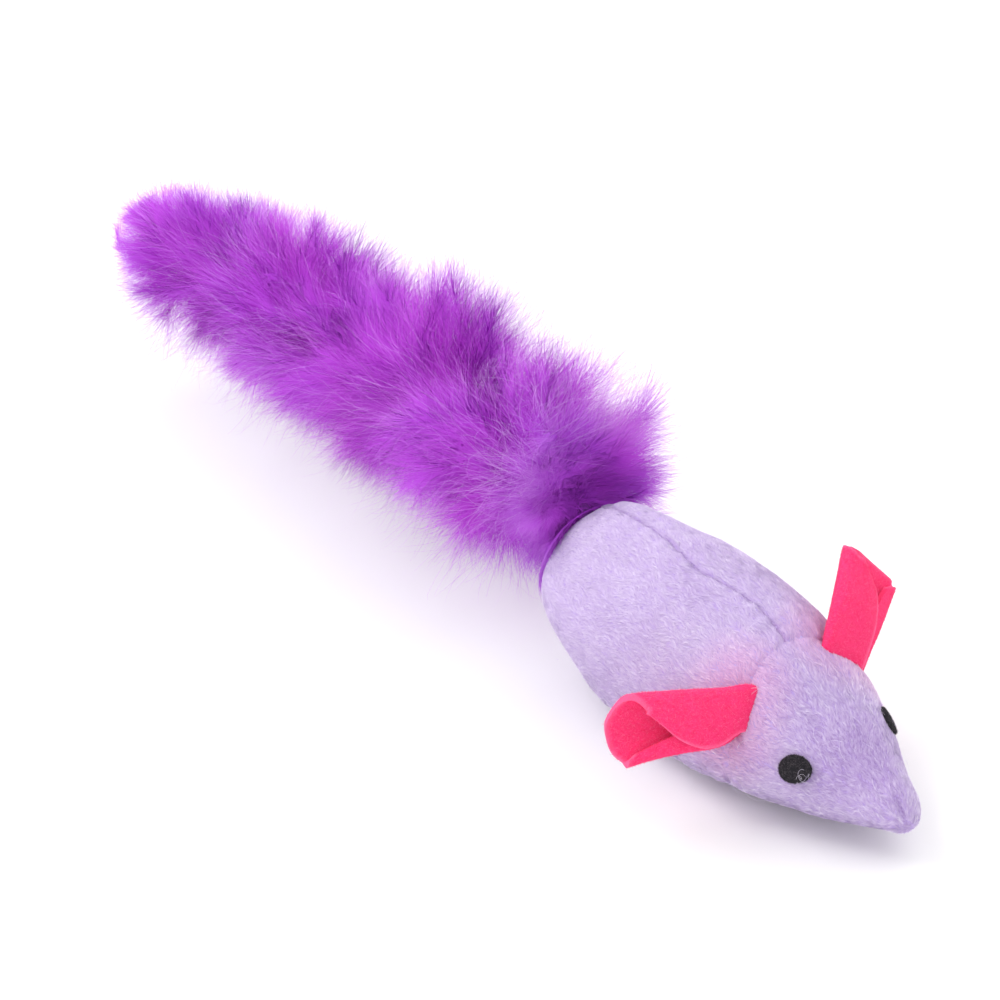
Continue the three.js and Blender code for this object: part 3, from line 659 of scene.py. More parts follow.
def new_material(name, roughness, sheen=0.0, specular=0.2):
    """A material with its Principled shader, and its node tree ready for more."""
    material = bpy.data.materials.new(name)
    material.use_nodes = True
    shader = material.node_tree.nodes["Principled BSDF"]
    shader.inputs["Roughness"].default_value = roughness
    shader.inputs["Sheen Weight"].default_value = sheen
    shader.inputs["Specular IOR Level"].default_value = specular
    return material, material.node_tree, shader


def add_node(tree, kind, settings=None, **inputs):
    """One node of a kind, its settings and its inputs by name: a value, or a socket that feeds it."""
    node = tree.nodes.new(kind)
    for key, value in (settings or {}).items():
        setattr(node, key, value)
    for key, value in inputs.items():
        socket = node.inputs[int(key[1:]) if key[0] == "i" and key[1:].isdigit() else key]
        if isinstance(value, bpy.types.NodeSocket):
            tree.links.new(value, socket)
        else:
            socket.default_value = value
    return node


def ramp(tree, factor, colours):
    """A colour ramp through (place, colour) stops."""
    node = tree.nodes.new("ShaderNodeValToRGB")
    tree.links.new(factor, node.inputs["Fac"])
    elements = node.color_ramp.elements
    while len(elements) < len(colours):
        elements.new(0.5)
    for element, (place, colour) in zip(elements, colours):
        element.position = place
        element.color = colour
    return node.outputs["Color"]


def uv_axes(tree):
    """The piece's own map as two separate numbers."""
    place = add_node(tree, "ShaderNodeUVMap", {"uv_map": "OFBake"})
    split = add_node(tree, "ShaderNodeSeparateXYZ", i0=place.outputs["UV"])
    return split.outputs["X"], split.outputs["Y"]


def strand_material(name, roughness, plain, other=None, sheen=0.0, specular=0.15):
    """Strands coloured by their own map: tone runs up the map, and a second set of colours across it."""
    material, tree, shader = new_material(name, roughness, sheen, specular)
    cast, tone = uv_axes(tree)
    mixed = add_node(tree, "ShaderNodeMix", {"data_type": "RGBA"}, i0=cast, i6=ramp(tree, tone, plain),
                     i7=ramp(tree, tone, other or plain))
    tree.links.new(mixed.outputs[2], shader.inputs["Base Color"])
    return material


def relief_material(name, texture, output, height, colours, relief, **settings):
    """A surface coloured by a texture of the piece's own place, with that texture's height as its bump."""
    material, tree, shader = new_material(name, 1.0)
    place = add_node(tree, "ShaderNodeTexCoord").outputs["Object"]
    pattern = add_node(tree, texture, Vector=place, **settings)
    bump = add_node(tree, "ShaderNodeBump", Height=pattern.outputs[height], Strength=relief[0],
                    Distance=relief[1])
    tree.links.new(ramp(tree, pattern.outputs[output], colours), shader.inputs["Base Color"])
    tree.links.new(bump.outputs["Normal"], shader.inputs["Normal"])
    return material


def plush_strands():
    """Pile: deep violet at low tone, for the shade painted in its hollows, pale at high tone, for the light
    painted at its tips, and pinker colours for the felt's reflection painted beside the ears.
    """
    plain = stops((0.0, 142, 108, 182), (0.35, 188, 163, 213), (0.7, 212, 195, 230), (1.0, 234, 224, 244))
    pink_reflection = stops((0.0, 160, 98, 172), (0.35, 206, 150, 203), (0.7, 228, 178, 221), (1.0, 244, 208, 238))
    return strand_material("plush_pile", 0.95, plain, pink_reflection, sheen=0.12)


def marabou_strands():
    """Down: deep violet at low tone, which paints shade near the quill, bright purple, pale lilac at high
    tone, which paints light at its ends, and its shadow is thin.
    """
    plain = stops((0.0, 134, 24, 168), (0.3, 168, 50, 204), (0.6, 192, 84, 230), (0.85, 212, 134, 244),
                  (1.0, 228, 184, 250))
    warm = stops((0.0, 142, 24, 162), (0.3, 178, 52, 202), (0.6, 204, 88, 230), (0.85, 222, 140, 244),
                 (1.0, 234, 188, 250))
    material = strand_material("marabou_down", 0.8, plain, warm, specular=0.08)
    tree = material.node_tree
    path = add_node(tree, "ShaderNodeLightPath")
    passed = add_node(tree, "ShaderNodeMath", {"operation": "MULTIPLY"}, i0=path.outputs["Is Shadow Ray"],
                      i1=DOWN_LETS_THROUGH)
    clear = add_node(tree, "ShaderNodeBsdfTransparent", Color=(1.0, 1.0, 1.0, 1.0))
    mixed = add_node(tree, "ShaderNodeMixShader", i0=passed.outputs[0],
                     i1=tree.nodes["Principled BSDF"].outputs["BSDF"], i2=clear.outputs["BSDF"])
    tree.links.new(mixed.outputs["Shader"], tree.nodes["Material Output"].inputs["Surface"])
    return material


def fibre_group():
    """Matted fibres, shared by felt, filling and cord: a warped fine noise as tone, and its relief."""
    group = bpy.data.node_groups.new("matted_fibres", "ShaderNodeTree")
    for way, name, kind in (
        ("INPUT", "Place", "Vector"), ("INPUT", "Scale", "Float"), ("INPUT", "Relief", "Float"),
        ("OUTPUT", "Tone", "Float"), ("OUTPUT", "Normal", "Vector"),
    ):
        group.interface.new_socket(name, in_out=way, socket_type="NodeSocket" + kind)
    entry = group.nodes.new("NodeGroupInput")
    leave = group.nodes.new("NodeGroupOutput")
    warp = add_node(group, "ShaderNodeTexNoise", Vector=entry.outputs["Place"], Scale=entry.outputs["Scale"],
                    Detail=2.0)
    bent = add_node(group, "ShaderNodeVectorMath", {"operation": "MULTIPLY_ADD"},
                    i0=warp.outputs["Color"], i1=(0.0012, 0.0012, 0.0012), i2=entry.outputs["Place"])
    fine = add_node(group, "ShaderNodeMath", {"operation": "MULTIPLY"}, i0=entry.outputs["Scale"], i1=3.0)
    fibres = add_node(group, "ShaderNodeTexNoise", Vector=bent.outputs["Vector"], Scale=fine.outputs[0],
                      Detail=4.0, Roughness=0.65)
    tone = add_node(group, "ShaderNodeMath", {"operation": "MULTIPLY_ADD"},
                    i0=warp.outputs["Fac"], i1=0.35, i2=fibres.outputs["Fac"])
    tone = add_node(group, "ShaderNodeMath", {"operation": "DIVIDE"}, i0=tone.outputs[0], i1=1.35)
    bump = add_node(group, "ShaderNodeBump", Height=tone.outputs[0], Distance=0.0002,
                    Strength=entry.outputs["Relief"])
    group.links.new(tone.outputs[0], leave.inputs["Tone"])
    group.links.new(bump.outputs["Normal"], leave.inputs["Normal"])
    return group


def matted_material(name, colours, scale, relief, sheen=0.0):
    """A matted surface coloured and roughened by the fibre group."""
    material, tree, shader = new_material(name, 1.0, sheen)
    place = add_node(tree, "ShaderNodeTexCoord").outputs["Object"]
    fibres = tree.nodes.new("ShaderNodeGroup")
    fibres.node_tree = MATTED_FIBRES
    tree.links.new(place, fibres.inputs["Place"])
    fibres.inputs["Scale"].default_value = scale
    fibres.inputs["Relief"].default_value = relief
    tree.links.new(ramp(tree, fibres.outputs["Tone"], colours), shader.inputs["Base Color"])
    tree.links.new(fibres.outputs["Normal"], shader.inputs["Normal"])
    return material


def paint_edge_highlight(material):
    """The felt's colour goes paler towards its cut edges, partly for the loose fibres that stand off there
    and partly as a painted highlight.
    """
    tree = material.node_tree
    shader = tree.nodes["Principled BSDF"]
    colour = shader.inputs["Base Color"].links[0].from_socket
    edge = add_node(tree, "ShaderNodeAttribute", {"attribute_name": "cut_edge"})
    share = add_node(tree, "ShaderNodeMath", {"operation": "MULTIPLY"}, i0=edge.outputs["Fac"], i1=0.6)
    # paler pink at the cut edges: loose fibres and a painted highlight
    mixed = add_node(tree, "ShaderNodeMix", {"data_type": "RGBA"}, i0=share.outputs[0], i6=colour,
                     i7=srgb(255, 122, 168))
    tree.links.new(mixed.outputs[2], shader.inputs["Base Color"])


PLUSH_PILE = plush_strands()
PLUSH_BACKING = relief_material(
    "plush_backing", "ShaderNodeTexNoise", "Fac", "Fac", stops((0.3, 178, 152, 214), (0.7, 202, 180, 230)),
    (0.5, 0.0003), Scale=900.0, Detail=3.0)
MARABOU = marabou_strands()
MATTED_FIBRES = fibre_group()
EAR_FELT = matted_material("ear_felt", stops((0.3, 236, 26, 86), (0.7, 255, 74, 138)), 1400.0, 0.5, 0.04)
EYE_FELT = matted_material("eye_felt", stops((0.3, 20, 19, 24), (0.6, 44, 43, 48), (0.8, 92, 84, 88)),
                           1600.0, 0.6)
FILLING = matted_material("filling_fibre", stops((0.3, 222, 218, 208), (0.7, 248, 246, 240)), 500.0, 0.8)
TAIL_CORD = matted_material("tail_cord", stops((0.3, 84, 28, 104), (0.7, 128, 52, 156)), 1800.0, 0.5)
LEAF = relief_material(
    "dry_leaf", "ShaderNodeTexVoronoi", "Color", "Distance",
    stops((0.1, 78, 88, 44), (0.5, 118, 124, 66), (0.9, 164, 154, 98)), (0.7, 0.0005), Scale=900.0)
paint_edge_highlight(EAR_FELT)
EAR_FUZZ = strand_material("ear_fuzz", 0.9, stops((0.0, 236, 44, 104), (0.5, 252, 72, 132),
                                                  (1.0, 255, 128, 172)))
EYE_FUZZ = strand_material("eye_fuzz", 0.9, stops((0.0, 22, 21, 26), (0.6, 46, 44, 50), (1.0, 112, 102, 108)))
STRAY = strand_material("stray_fibres", 0.8, stops((0.0, 214, 200, 232), (1.0, 246, 240, 252)))


# Plush body

def between_rows(values, places):
    """A grid's values at fractional rows: a cubic between rows whose slopes are central differences."""
    low = np.clip(places.astype(int), 0, len(values) - 2)
    t = (places - low).reshape(-1, *[1] * (values.ndim - 1))
    slope = np.gradient(values, axis=0)
    return hermite(values[low], values[low + 1], slope[low], slope[low + 1], t)


FINE_STEPS = np.array([0, 0.07, 0.15, 0.25, 0.38, 0.55, 0.77])


def seam_places(count, first, last):
    """Fractional places across a grid: halves, with fine steps beside an end that is a seam."""
    start = FINE_STEPS if first else np.array([0, 0.5])
    end = count - 1 - (FINE_STEPS if last else np.array([0, 0.5]))[::-1]
    return np.concatenate([start, np.arange(1, count - 2 + 0.25, 0.5), end])


def run_lengths(grid, axis):
    """Distance along a grid's lines from their first points and to their last."""
    step = np.linalg.norm(np.diff(grid, axis=axis), axis=-1)
    nothing = np.zeros_like(np.take(step, [0], axis=axis))
    gone = np.concatenate([nothing, np.cumsum(step, axis=axis)], axis=axis)
    return gone, np.take(gone, [-1], axis=axis) - gone


def sewn(grid, normals, side_seams, neck_last):
    """A panel drawn in along its seams: a narrow line, gathers across it and single dents; and the shade
    painted into them.
    """
    along, to_neck = run_lengths(grid, 0)
    across, to_side = run_lengths(grid, 1)
    from_neck = to_neck if neck_last else along
    from_side = np.minimum(across, to_side) if side_seams else np.full(from_neck.shape, 99.0)
    near = np.minimum(from_neck, from_side)
    high = (0.25 + 0.75 * smoothstep(8, 19, grid[..., 2])) * np.where(from_side < from_neck, 1, 0.4)
    line = bell(near, CREASE_WIDTH) * high
    run = np.where(from_side < from_neck, along, across)
    wave = np.sin(2 * np.pi * run / GATHER_PITCH + 2.5 * noise3(grid, 6.0, 81))
    strength = 0.35 + 0.65 * np.clip(noise3(grid, 9.0, 82) + 0.4, 0, 1)
    gathers = wave * strength * bell(near, GATHER_REACH) * (1 - bell(near, 0.5))
    hollow, painted_crease_shade = dents(grid)
    sink = CREASE_DEPTH * line + GATHER_DEPTH * gathers + hollow
    # painted shade: darker along the seam's line and in the gathers' hollows
    painted_crease_shade = np.maximum(painted_crease_shade, 0.28 * high * bell(near, 0.42) + 0.06 * np.clip(gathers, 0, 1))
    return grid - normals * sink[..., None], painted_crease_shade


def panel_grids(skin):
    """Each panel's part of the skin's grid, finer beside its seams and sewn: points, normals and painted
    crease shade.
    """
    columns = np.arange(SKIN_DISTANCES.shape[1])
    trunk = slice(0, NECK_ROW + 1)
    head = slice(NECK_ROW, None)
    parts = {
        "back_panel_left": (trunk, columns[:DORSAL_COLUMN + 1]),
        "back_panel_right": (trunk, columns[DORSAL_COLUMN:RIGHT_BELLY_COLUMN + 1]),
        "belly_panel": (trunk, np.append(columns[RIGHT_BELLY_COLUMN:], 0)),
        "head_panel": (head, np.append(columns, 0)),
    }
    normals = -grid_normals(skin, True)
    panels = {}
    for name, (rows, cols) in parts.items():
        is_trunk = name != "head_panel"
        down = seam_places(len(skin[rows]), not is_trunk, is_trunk)
        over = seam_places(len(cols), is_trunk, is_trunk)

        def finer(values):
            return between_rows(between_rows(values[rows][:, cols], down).swapaxes(0, 1), over).swapaxes(0, 1)

        grid, painted_crease_shade = sewn(finer(skin), unit(finer(normals)), is_trunk, is_trunk)
        grid[..., 2] = np.maximum(grid[..., 2], FLOOR_CLEAR)
        panels[name] = (grid, -grid_normals(grid), painted_crease_shade)
    return panels


def build_panels():
    """Backing cloth of each panel, with its edges tucked into the seams."""
    for name, (grid, normals, _) in PANELS.items():
        inner = grid - normals * SEAM_TUCK
        sheet = np.concatenate([inner[:1], grid, inner[-1:]])
        if name != "head_panel":
            inner_sides = np.concatenate([inner[:1], inner, inner[-1:]])
            sheet = np.concatenate([inner_sides[:, :1], sheet, inner_sides[:, -1:]], axis=1)
        points = sheet.reshape(-1, 3)
        piece = new_piece(name + "_cloth", points, grid_faces(*sheet.shape[:2])[:, ::-1], PLUSH_BACKING)
        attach(piece, "root")
        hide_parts(name)


def cell_areas(grid):
    """Area of each of a grid's quads: half the length of its crossed diagonals."""
    crossed = np.cross(grid[1:, 1:] - grid[:-1, :-1], grid[1:, :-1] - grid[:-1, 1:])
    return np.linalg.norm(crossed, axis=-1).ravel() / 2


def spread_on(grid, count, random):
    """Random places on a grid, even by area: a cell by its area's share, then a place in the cell."""
    area = cell_areas(grid)
    cells = random.choice(len(area), count, p=area / area.sum())
    row, column = np.divmod(cells, grid.shape[1] - 1)
    u, v = random.random(count), random.random(count)
    corners = ((row, column), (row + 1, column), (row, column + 1), (row + 1, column + 1))
    weights = ((1 - u) * (1 - v), u * (1 - v), (1 - u) * v, u * v)

    def blend(values):
        return sum(w.reshape(-1, *[1] * (values.ndim - 2)) * values[c] for w, c in zip(weights, corners))

    return blend


def blades(root, tip, across):
    """Points and faces of one triangle for each fibre: its root's two corners and its tip."""
    points = np.stack([root - across, root + across, tip], axis=1).reshape(-1, 3)
    return points, np.arange(len(points)).reshape(-1, 3)


def strand_map(cast, tone):
    """The strands' own map: cast across and tone up, both kept just inside it."""
    return np.clip(np.stack(np.broadcast_arrays(cast, tone), axis=-1), 0.01, 0.99)


def along_nap(points, way, cell, seed):
    """Fine noise averaged along the nap, which draws its grain out into locks of pile."""
    steps = np.linspace(-LOCK_LENGTH / 2, LOCK_LENGTH / 2, 5)
    return sum(noise3(points + way * step, cell, seed) for step in steps) / 2.6


def build_pile():
    """Pile fibres: a leaning triangle from each root, laid from nose to rump, drawn into locks of pile."""
    random = np.random.default_rng(11)
    for name, (grid, normals, painted_crease_shade) in PANELS.items():
        count = int(cell_areas(grid).sum() * PILE_PER_MM2)
        at = spread_on(grid, count, random)
        root, up = at(grid), unit(at(normals))
        nap = unit(at(-np.gradient(grid, axis=0)))
        nap = unit(nap - up * (nap * up).sum(-1, keepdims=True))
        side = np.cross(nap, up)
        swirl = noise3(root, 9.0, 3)[:, None] * 0.3 + noise3(root, 1.1, 4)[:, None] * 0.9
        laid = unit(nap + side * swirl)
        beside = np.cross(laid, up)
        lock = along_nap(root, laid, LOCK_WIDTH, 8)
        slope = along_nap(root + beside * 0.07, laid, LOCK_WIDTH, 8) - lock
        way = unit(laid + beside * (random.normal(0, 0.22, count) + LOCK_SLOPE * slope)[:, None])
        lean = np.radians(PILE_LEAN - 4 * lock + random.normal(0, 3, count))[:, None]
        root = root + up * (0.08 * lock)[:, None]
        length = PILE_LENGTH * random.uniform(0.7, 1.15, (count, 1))
        tip = root + (up * np.cos(lean) + way * np.sin(lean)) * length
        points, faces = blades(root, tip, unit(np.cross(way, up)) * PILE_WIDTH / 2)
        points[:, 2] = np.maximum(points[:, 2], PILE_LOWEST)
        on_head = 1 - smoothstep(-26, -14, root[:, 1])
        grain = 0.17 + 0.08 * smoothstep(-32, -8, -root[:, 1]) + 0.12 * on_head
        shade = PILE_TONE + TONE_BLOTCH * noise3(root, 5.0, 6) + grain * lock
        # random scatter of tone, less the painted shade of the creases and dents
        shade = shade + random.normal(0, TONE_SCATTER, count) - at(painted_crease_shade)
        # painted shade: the head's middle and the snout darker, where they face away from the lamps behind
        middle = 1 - smoothstep(0.35, 0.8, np.abs(up[:, 0]))
        snout_shade_mask = bell(root[:, 1] - SNOUT_Y, 8) * (1 - smoothstep(0.75, 0.95, np.abs(up[:, 0])))
        shade = shade - HEAD_MIDDLE_PAINTED_SHADE * middle * on_head - SNOUT_PAINTED_SHADE * snout_shade_mask
        # painted light: the far cheek and the rump lighter, on the sides that face the lamps
        shade = shade + FAR_CHEEK_PAINTED_LIGHT * on_head * smoothstep(0.1, 0.6, up[:, 0])
        shade = shade + RUMP_PAINTED_LIGHT * smoothstep(18, 38, root[:, 1])
        # each fibre is painted darker at its root and paler at its tip, as shade and light fall in the pile
        tone = np.stack([shade - PILE_ROOT_PAINTED_SHADE, shade - PILE_ROOT_PAINTED_SHADE, shade + PILE_TIP_PAINTED_LIGHT], axis=1).reshape(-1)
        # the map's cross axis carries the felt's painted pink reflection
        uv = strand_map(np.repeat(painted_ear_reflection(root), 3), tone)
        piece = new_piece(name + "_pile", points, faces, PLUSH_PILE, uv)
        tilted = up - beside * (LOCK_SLOPE * slope)[:, None]
        lit = unit(np.repeat(tilted, 3, axis=0) + random.normal(0, 0.1, (count * 3, 3)))
        piece.data.normals_split_custom_set_from_vertices(lit)
        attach(piece, "root")


def painted_ear_reflection(points):
    """Painted pink reflection of the felt on the plush: strongest at each ear's root, gone at the end of its
    reach.
    """
    away = np.minimum(*[from_segment(points, *base) for base in EAR_BASES])
    return EAR_REFLECTION_SHARE * (1 - smoothstep(*EAR_REFLECTION_REACH, away))


def build_filling():
    """Polyester wad inside the skin and the catnip in it: the form and an ellipsoid, both lumpy by noise."""
    distances = BODY_LENGTH * (1 - np.cos(np.linspace(0, np.pi, 40))) [1:-1] / 2
    angles = np.linspace(0, 2 * np.pi, 64, endpoint=False)
    rings = form_point(distances[:, None], angles[None, :], STUFFING_DEPTH)
    core = rings.mean(axis=1, keepdims=True)
    lumps = 1 + 0.05 * noise3(rings, 7.0, 51) + 0.02 * noise3(rings, 2.5, 52)
    rings = core + (rings - core) * lumps[..., None]
    poles = form_point(np.array([0, BODY_LENGTH]), 0, STUFFING_DEPTH)
    piece = new_piece("stuffing_wad", *closed_rings(rings, poles), FILLING)
    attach(piece, "root")
    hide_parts("stuffing")

    turn = np.linspace(0, np.pi, 40)[1:-1, None]
    x, y, z = CATNIP_HALVES
    ball = xyz(x * np.sin(turn) * np.cos(angles), y * np.cos(turn), z * np.sin(turn) * np.sin(angles))
    ball = ball * (1 + 0.08 * noise3(ball, 2.2, 53) + 0.05 * noise3(ball, 0.9, 54))[..., None]
    ends = np.array([[0, y, 0], [0, -y, 0]])
    points, faces = closed_rings(ball, ends)
    piece = new_piece("catnip_wad", points + CATNIP_CENTRE, faces, LEAF)
    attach(piece, "root")
    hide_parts("catnip_fill")


PANELS = panel_grids(stuffed_skin())
build_panels()
build_pile()
build_filling()


# Eyes

def eye_frame(side):
    """Where an eye sits: the form's point at its height, the pad's long and short way, and the normal."""
    sample = np.linspace(0, np.pi / 2, 400)
    angle = np.interp(EYE_Z, form_point(EYE_AT, sample, 0)[:, 2], sample)
    angle = angle if side > 0 else np.pi - angle

    def point(distance, turn):
        return form_point(np.array([distance]), np.array([turn]), 0)[0]

    seat = point(EYE_AT, angle)
    forward = unit(point(EYE_AT + 1, angle) - point(EYE_AT - 1, angle))
    normal = unit(np.cross(forward, point(EYE_AT, angle + 0.1) - point(EYE_AT, angle - 0.1)))
    normal = normal if normal[0] * side > 0 else -normal
    tilt = -side * np.radians(EYE_TILT)
    forward = forward * np.cos(tilt) + np.cross(normal, forward) * np.sin(tilt)
    return seat, forward, np.cross(normal, forward), normal


def eye_surface(share, turn):
    """The pad in its own frame: an oval with a full rounded rim, its top slightly crowned."""
    profile = np.array([[0, 0], [0.5, 0], [0.88, 0.02], [1.0, 0.2], [1.04, 0.5], [0.99, 0.8], [0.86, 0.97],
                        [0.5, 1.06], [0, 1.1]])
    place = np.linspace(0, 1, len(profile))
    reach = np.interp(share, place, profile[:, 0])
    rise = np.interp(share, place, profile[:, 1])
    rim = 1 + 0.02 * np.sin(2 * turn + 0.8) + 0.015 * np.sin(3 * turn + 2.1) + 0.006 * np.sin(7 * turn)
    spread = reach * rim / 2
    return xyz(spread * np.cos(turn) * EYE_LENGTH, spread * np.sin(turn) * EYE_HEIGHT, rise * EYE_THICKNESS)


def fuzz_on(name, grid, normals, count, length, width, material, random):
    """Short loose fibres on a surface: a triangle from each root, at random headings near the surface."""
    at = spread_on(grid, count, random)
    root, up = at(grid), unit(at(normals))
    heading = random.normal(size=(count, 3))
    heading = unit(heading - up * (heading * up).sum(-1, keepdims=True))
    rise = random.uniform(0.1, 0.5, (count, 1))
    reach = length * random.uniform(0.4, 1.0, (count, 1))
    tip = root + unit(heading + up * rise) * reach
    tone = random.uniform(0.1, 0.8, count)
    uv = strand_map(0.5, np.stack([tone, tone, tone + 0.2], axis=1).reshape(-1))
    piece = new_piece(name, *blades(root, tip, unit(np.cross(heading, up)) * width / 2), material, uv)
    piece.data.normals_split_custom_set_from_vertices(np.repeat(up, 3, axis=0))
    return piece


def build_eyes():
    """Two black felt pads with short fuzz on them."""
    random = np.random.default_rng(23)
    share = np.linspace(0, 1, 26)[1:-1, None]
    turn = np.linspace(0, 2 * np.pi, 96, endpoint=False)[None, :]
    for name, side, lift in (("eye_left", 1, EYE_SEATS[0]), ("eye_right", -1, EYE_SEATS[1])):
        seat, forward, across, normal = eye_frame(side)
        seat = seat + normal * lift
        axes = np.stack([forward, across, normal])
        grid = eye_surface(share, turn)
        grid = grid * (1 + 0.012 * noise3(grid + side * 7, 0.9, 61)[..., None])
        poles = eye_surface(np.array([0.0, 1.0]), np.zeros(2))
        points, faces = closed_rings(grid, poles)
        piece = new_piece(name + "_pad", seat + points @ axes, faces, EYE_FELT)
        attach(piece, "root")
        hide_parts(name)
        top = seat + grid[8:] @ axes
        facing = grid_normals(top, True)
        if (facing.mean(axis=(0, 1)) * normal).sum() < 0:
            facing = -facing
        fuzz = fuzz_on(name + "_fuzz", top, facing, EYE_FIBRES, *EYE_FIBRE, EYE_FUZZ, random)
        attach(fuzz, "root")


build_eyes()


# Ears

def ear_middle(ear):
    """The felt's middle surface: a margin folded up in front, a lower bend, the back, a fold and the flap."""
    part = np.repeat(np.arange(5), EAR_COLUMNS)
    t = np.concatenate([np.arange(n) / n for n in EAR_COLUMNS])
    part, t = np.append(part, 4), np.append(t, 1.0)
    rim = smooth_through(*np.array(ear["rim"]).T, t, False)
    low_rim, top_rim = ear["rim"][0][1], ear["rim"][-1][1]
    low_bend = ear["margin_rim"] + (low_rim - ear["margin_rim"]) * t
    over_fold = np.interp(t, [0, 0.5, 1], [top_rim, *ear["fold_rim"]])
    low_root, top_root = ear["root"]
    up_root = low_root + (top_root - low_root) * t
    down_root = low_root + (top_root - low_root) * (1 - t)
    root = np.choose(part, [low_root + 0 * t, low_root + 0 * t, up_root, top_root + 0 * t, down_root])
    margin = ear["margin_rim"] - MARGIN_SLANT * (1 - t)
    reach = np.choose(part, [margin, low_bend, rim, over_fold, ear["fold_rim"][1] + 0 * t])
    row = np.linspace(0, 1, EAR_ROWS)[:, None]
    along = root + row * (reach - root)

    def outline(key):
        places, values = np.array(ear[key]).T
        return smooth_through(places, values, along, False)

    fold_r = ear["fold_radius"][0] + np.ptp(ear["fold_radius"]) * smoothstep(2, 18, along)
    lower_r = ear["lower_radius"][0] + np.ptp(ear["lower_radius"]) * smoothstep(4, 20, along)
    top, low = outline("fold") - fold_r, outline("lower") + lower_r
    flap = np.maximum(top - outline("flap_edge"), 0.35)
    bend = np.pi * t
    across = np.choose(part, [
        low + outline("margin") * (1 - t),
        low - lower_r * np.sin(bend),
        low + (top - low) * t,
        top + fold_r * np.sin(bend),
        top - flap * t,
    ])
    front = np.choose(part, [
        2 * lower_r + 0 * t,
        lower_r * (1 + np.cos(bend)),
        -1.3 * np.sin(np.pi * t) * smoothstep(0, 14, along),
        fold_r * (1 - np.cos(bend)),
        2 * fold_r + 0.5 * np.sin(np.pi * t),
    ])
    pinched = 0.45 + 0.55 * smoothstep(-3, 8, along)
    return np.stack([along, across, front * pinched], axis=-1)


def tucked_in(points, middle, ear):
    """Felt past the line where it enters the plush bends down into the stuffing, by a square of how far."""
    (low_l, low_b), (top_l, top_b) = ear["base"]
    share = np.clip((middle[..., 1] - low_b) / (top_b - low_b), 0, 1)
    past = np.maximum(low_l + (top_l - low_l) * share - middle[..., 0], 0)
    inward = unit(points * [-1, 0, -1] + [0, 0, CORE_Z])
    return points + inward * (TUCK_BEND * past ** 2)[..., None]


def cut_edges(shape):
    """How near each of the leaf's points is to its cut edges, for their paler colour and painted highlight: 1
    on the flap's free edge and on the rim.
    """
    near = np.zeros(shape)
    near[:, -1] = 1.0
    near[-1] = 0.7
    return near.ravel()


def build_ears():
    """Two felt leaves with a wall, a soft edge and loose fuzz."""
    random = np.random.default_rng(31)
    for name, ear in (("ear_left", EAR_LEFT), ("ear_right", EAR_RIGHT)):
        seat, axes = ear_frame(ear)
        middle = ear_middle(ear)
        ripple = sum(noise3(middle, cell, seed) * height for cell, seed, height in EAR_RIPPLES)
        grid = tucked_in(seat + middle @ axes, middle, ear)
        normals = grid_normals(grid)
        grid = grid + normals * ripple[..., None]
        piece = new_piece(name + "_leaf", grid.reshape(-1, 3), grid_faces(*grid.shape[:2]), EAR_FELT)
        layer = piece.data.attributes.new("cut_edge", "FLOAT", "POINT")
        layer.data.foreach_set("value", cut_edges(grid.shape[:2]))
        wall = piece.modifiers.new("wall", "SOLIDIFY")
        wall.thickness = FELT * MM
        wall.offset = 0
        edge = piece.modifiers.new("edge", "BEVEL")
        edge.width = FELT * EAR_BEVEL * MM
        edge.segments = 2
        edge.limit_method = "ANGLE"
        edge.angle_limit = np.radians(50)
        soft = piece.modifiers.new("soft", "SUBSURF")
        soft.levels = soft.render_levels = 1
        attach(piece, name)
        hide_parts(name)
        count = int(cell_areas(grid).sum() * FUZZ_PER_MM2)
        for which, hand in (("front", 1), ("back", -1)):
            face = grid + normals * hand * FELT / 2
            fuzz = fuzz_on(f"{name}_fuzz_{which}", face, normals * hand, count, *EAR_FIBRE, EAR_FUZZ, random)
            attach(fuzz, name)


build_ears()


# Marabou tail

def tail_reach(y, turn):
    """How far the down stands out: as photographed on its high and its low side, blended round the cord."""
    place = (y - TAIL_ROOT_Y) / TAIL_STEP
    steps = np.arange(len(TAIL_HIGH))
    high = 0.5 + 0.5 * np.cos(turn - HIGH_SIDE)
    return np.interp(place, steps, TAIL_LOW) * (1 - high) + np.interp(place, steps, TAIL_HIGH) * high


def turn_of(points):
    """The angle round the cord at which each point lies."""
    return np.arctan2(points[..., 2] - TAIL_Z, points[..., 0])


def around_tail(y, turn, radius):
    """A point off the cord at a place, an angle round it and a radius."""
    return np.stack([radius * np.cos(turn), y, TAIL_Z + radius * np.sin(turn)], axis=-1)


def ribbon_mesh(paths, widths, outward):
    """Flat strands along paths (strand, point, xyz), their faces turned outward and drawn to a tip."""
    strands, places = paths.shape[:2]
    along = np.gradient(paths, axis=1)
    across = unit(np.cross(along, outward)) * widths / 2
    left, right = paths - across, paths + across
    body = np.stack([left[:, :-1], right[:, :-1]], axis=2).reshape(strands, -1, 3)
    points = np.concatenate([body, paths[:, -1:]], axis=1)
    each = 2 * (places - 1) + 1
    first = np.arange(strands)[:, None] * each
    step = 2 * np.arange(places - 2)[None, :]
    quads = np.stack([first + step, first + step + 1, first + step + 3, first + step + 2], axis=-1)
    tips = np.stack([first[:, 0] + each - 3, first[:, 0] + each - 2, first[:, 0] + each - 1], axis=-1)
    share = np.append(np.repeat(np.arange(places - 1), 2), places - 1) / (places - 1)
    return points.reshape(-1, 3), [quads.reshape(-1, 4), tips], share


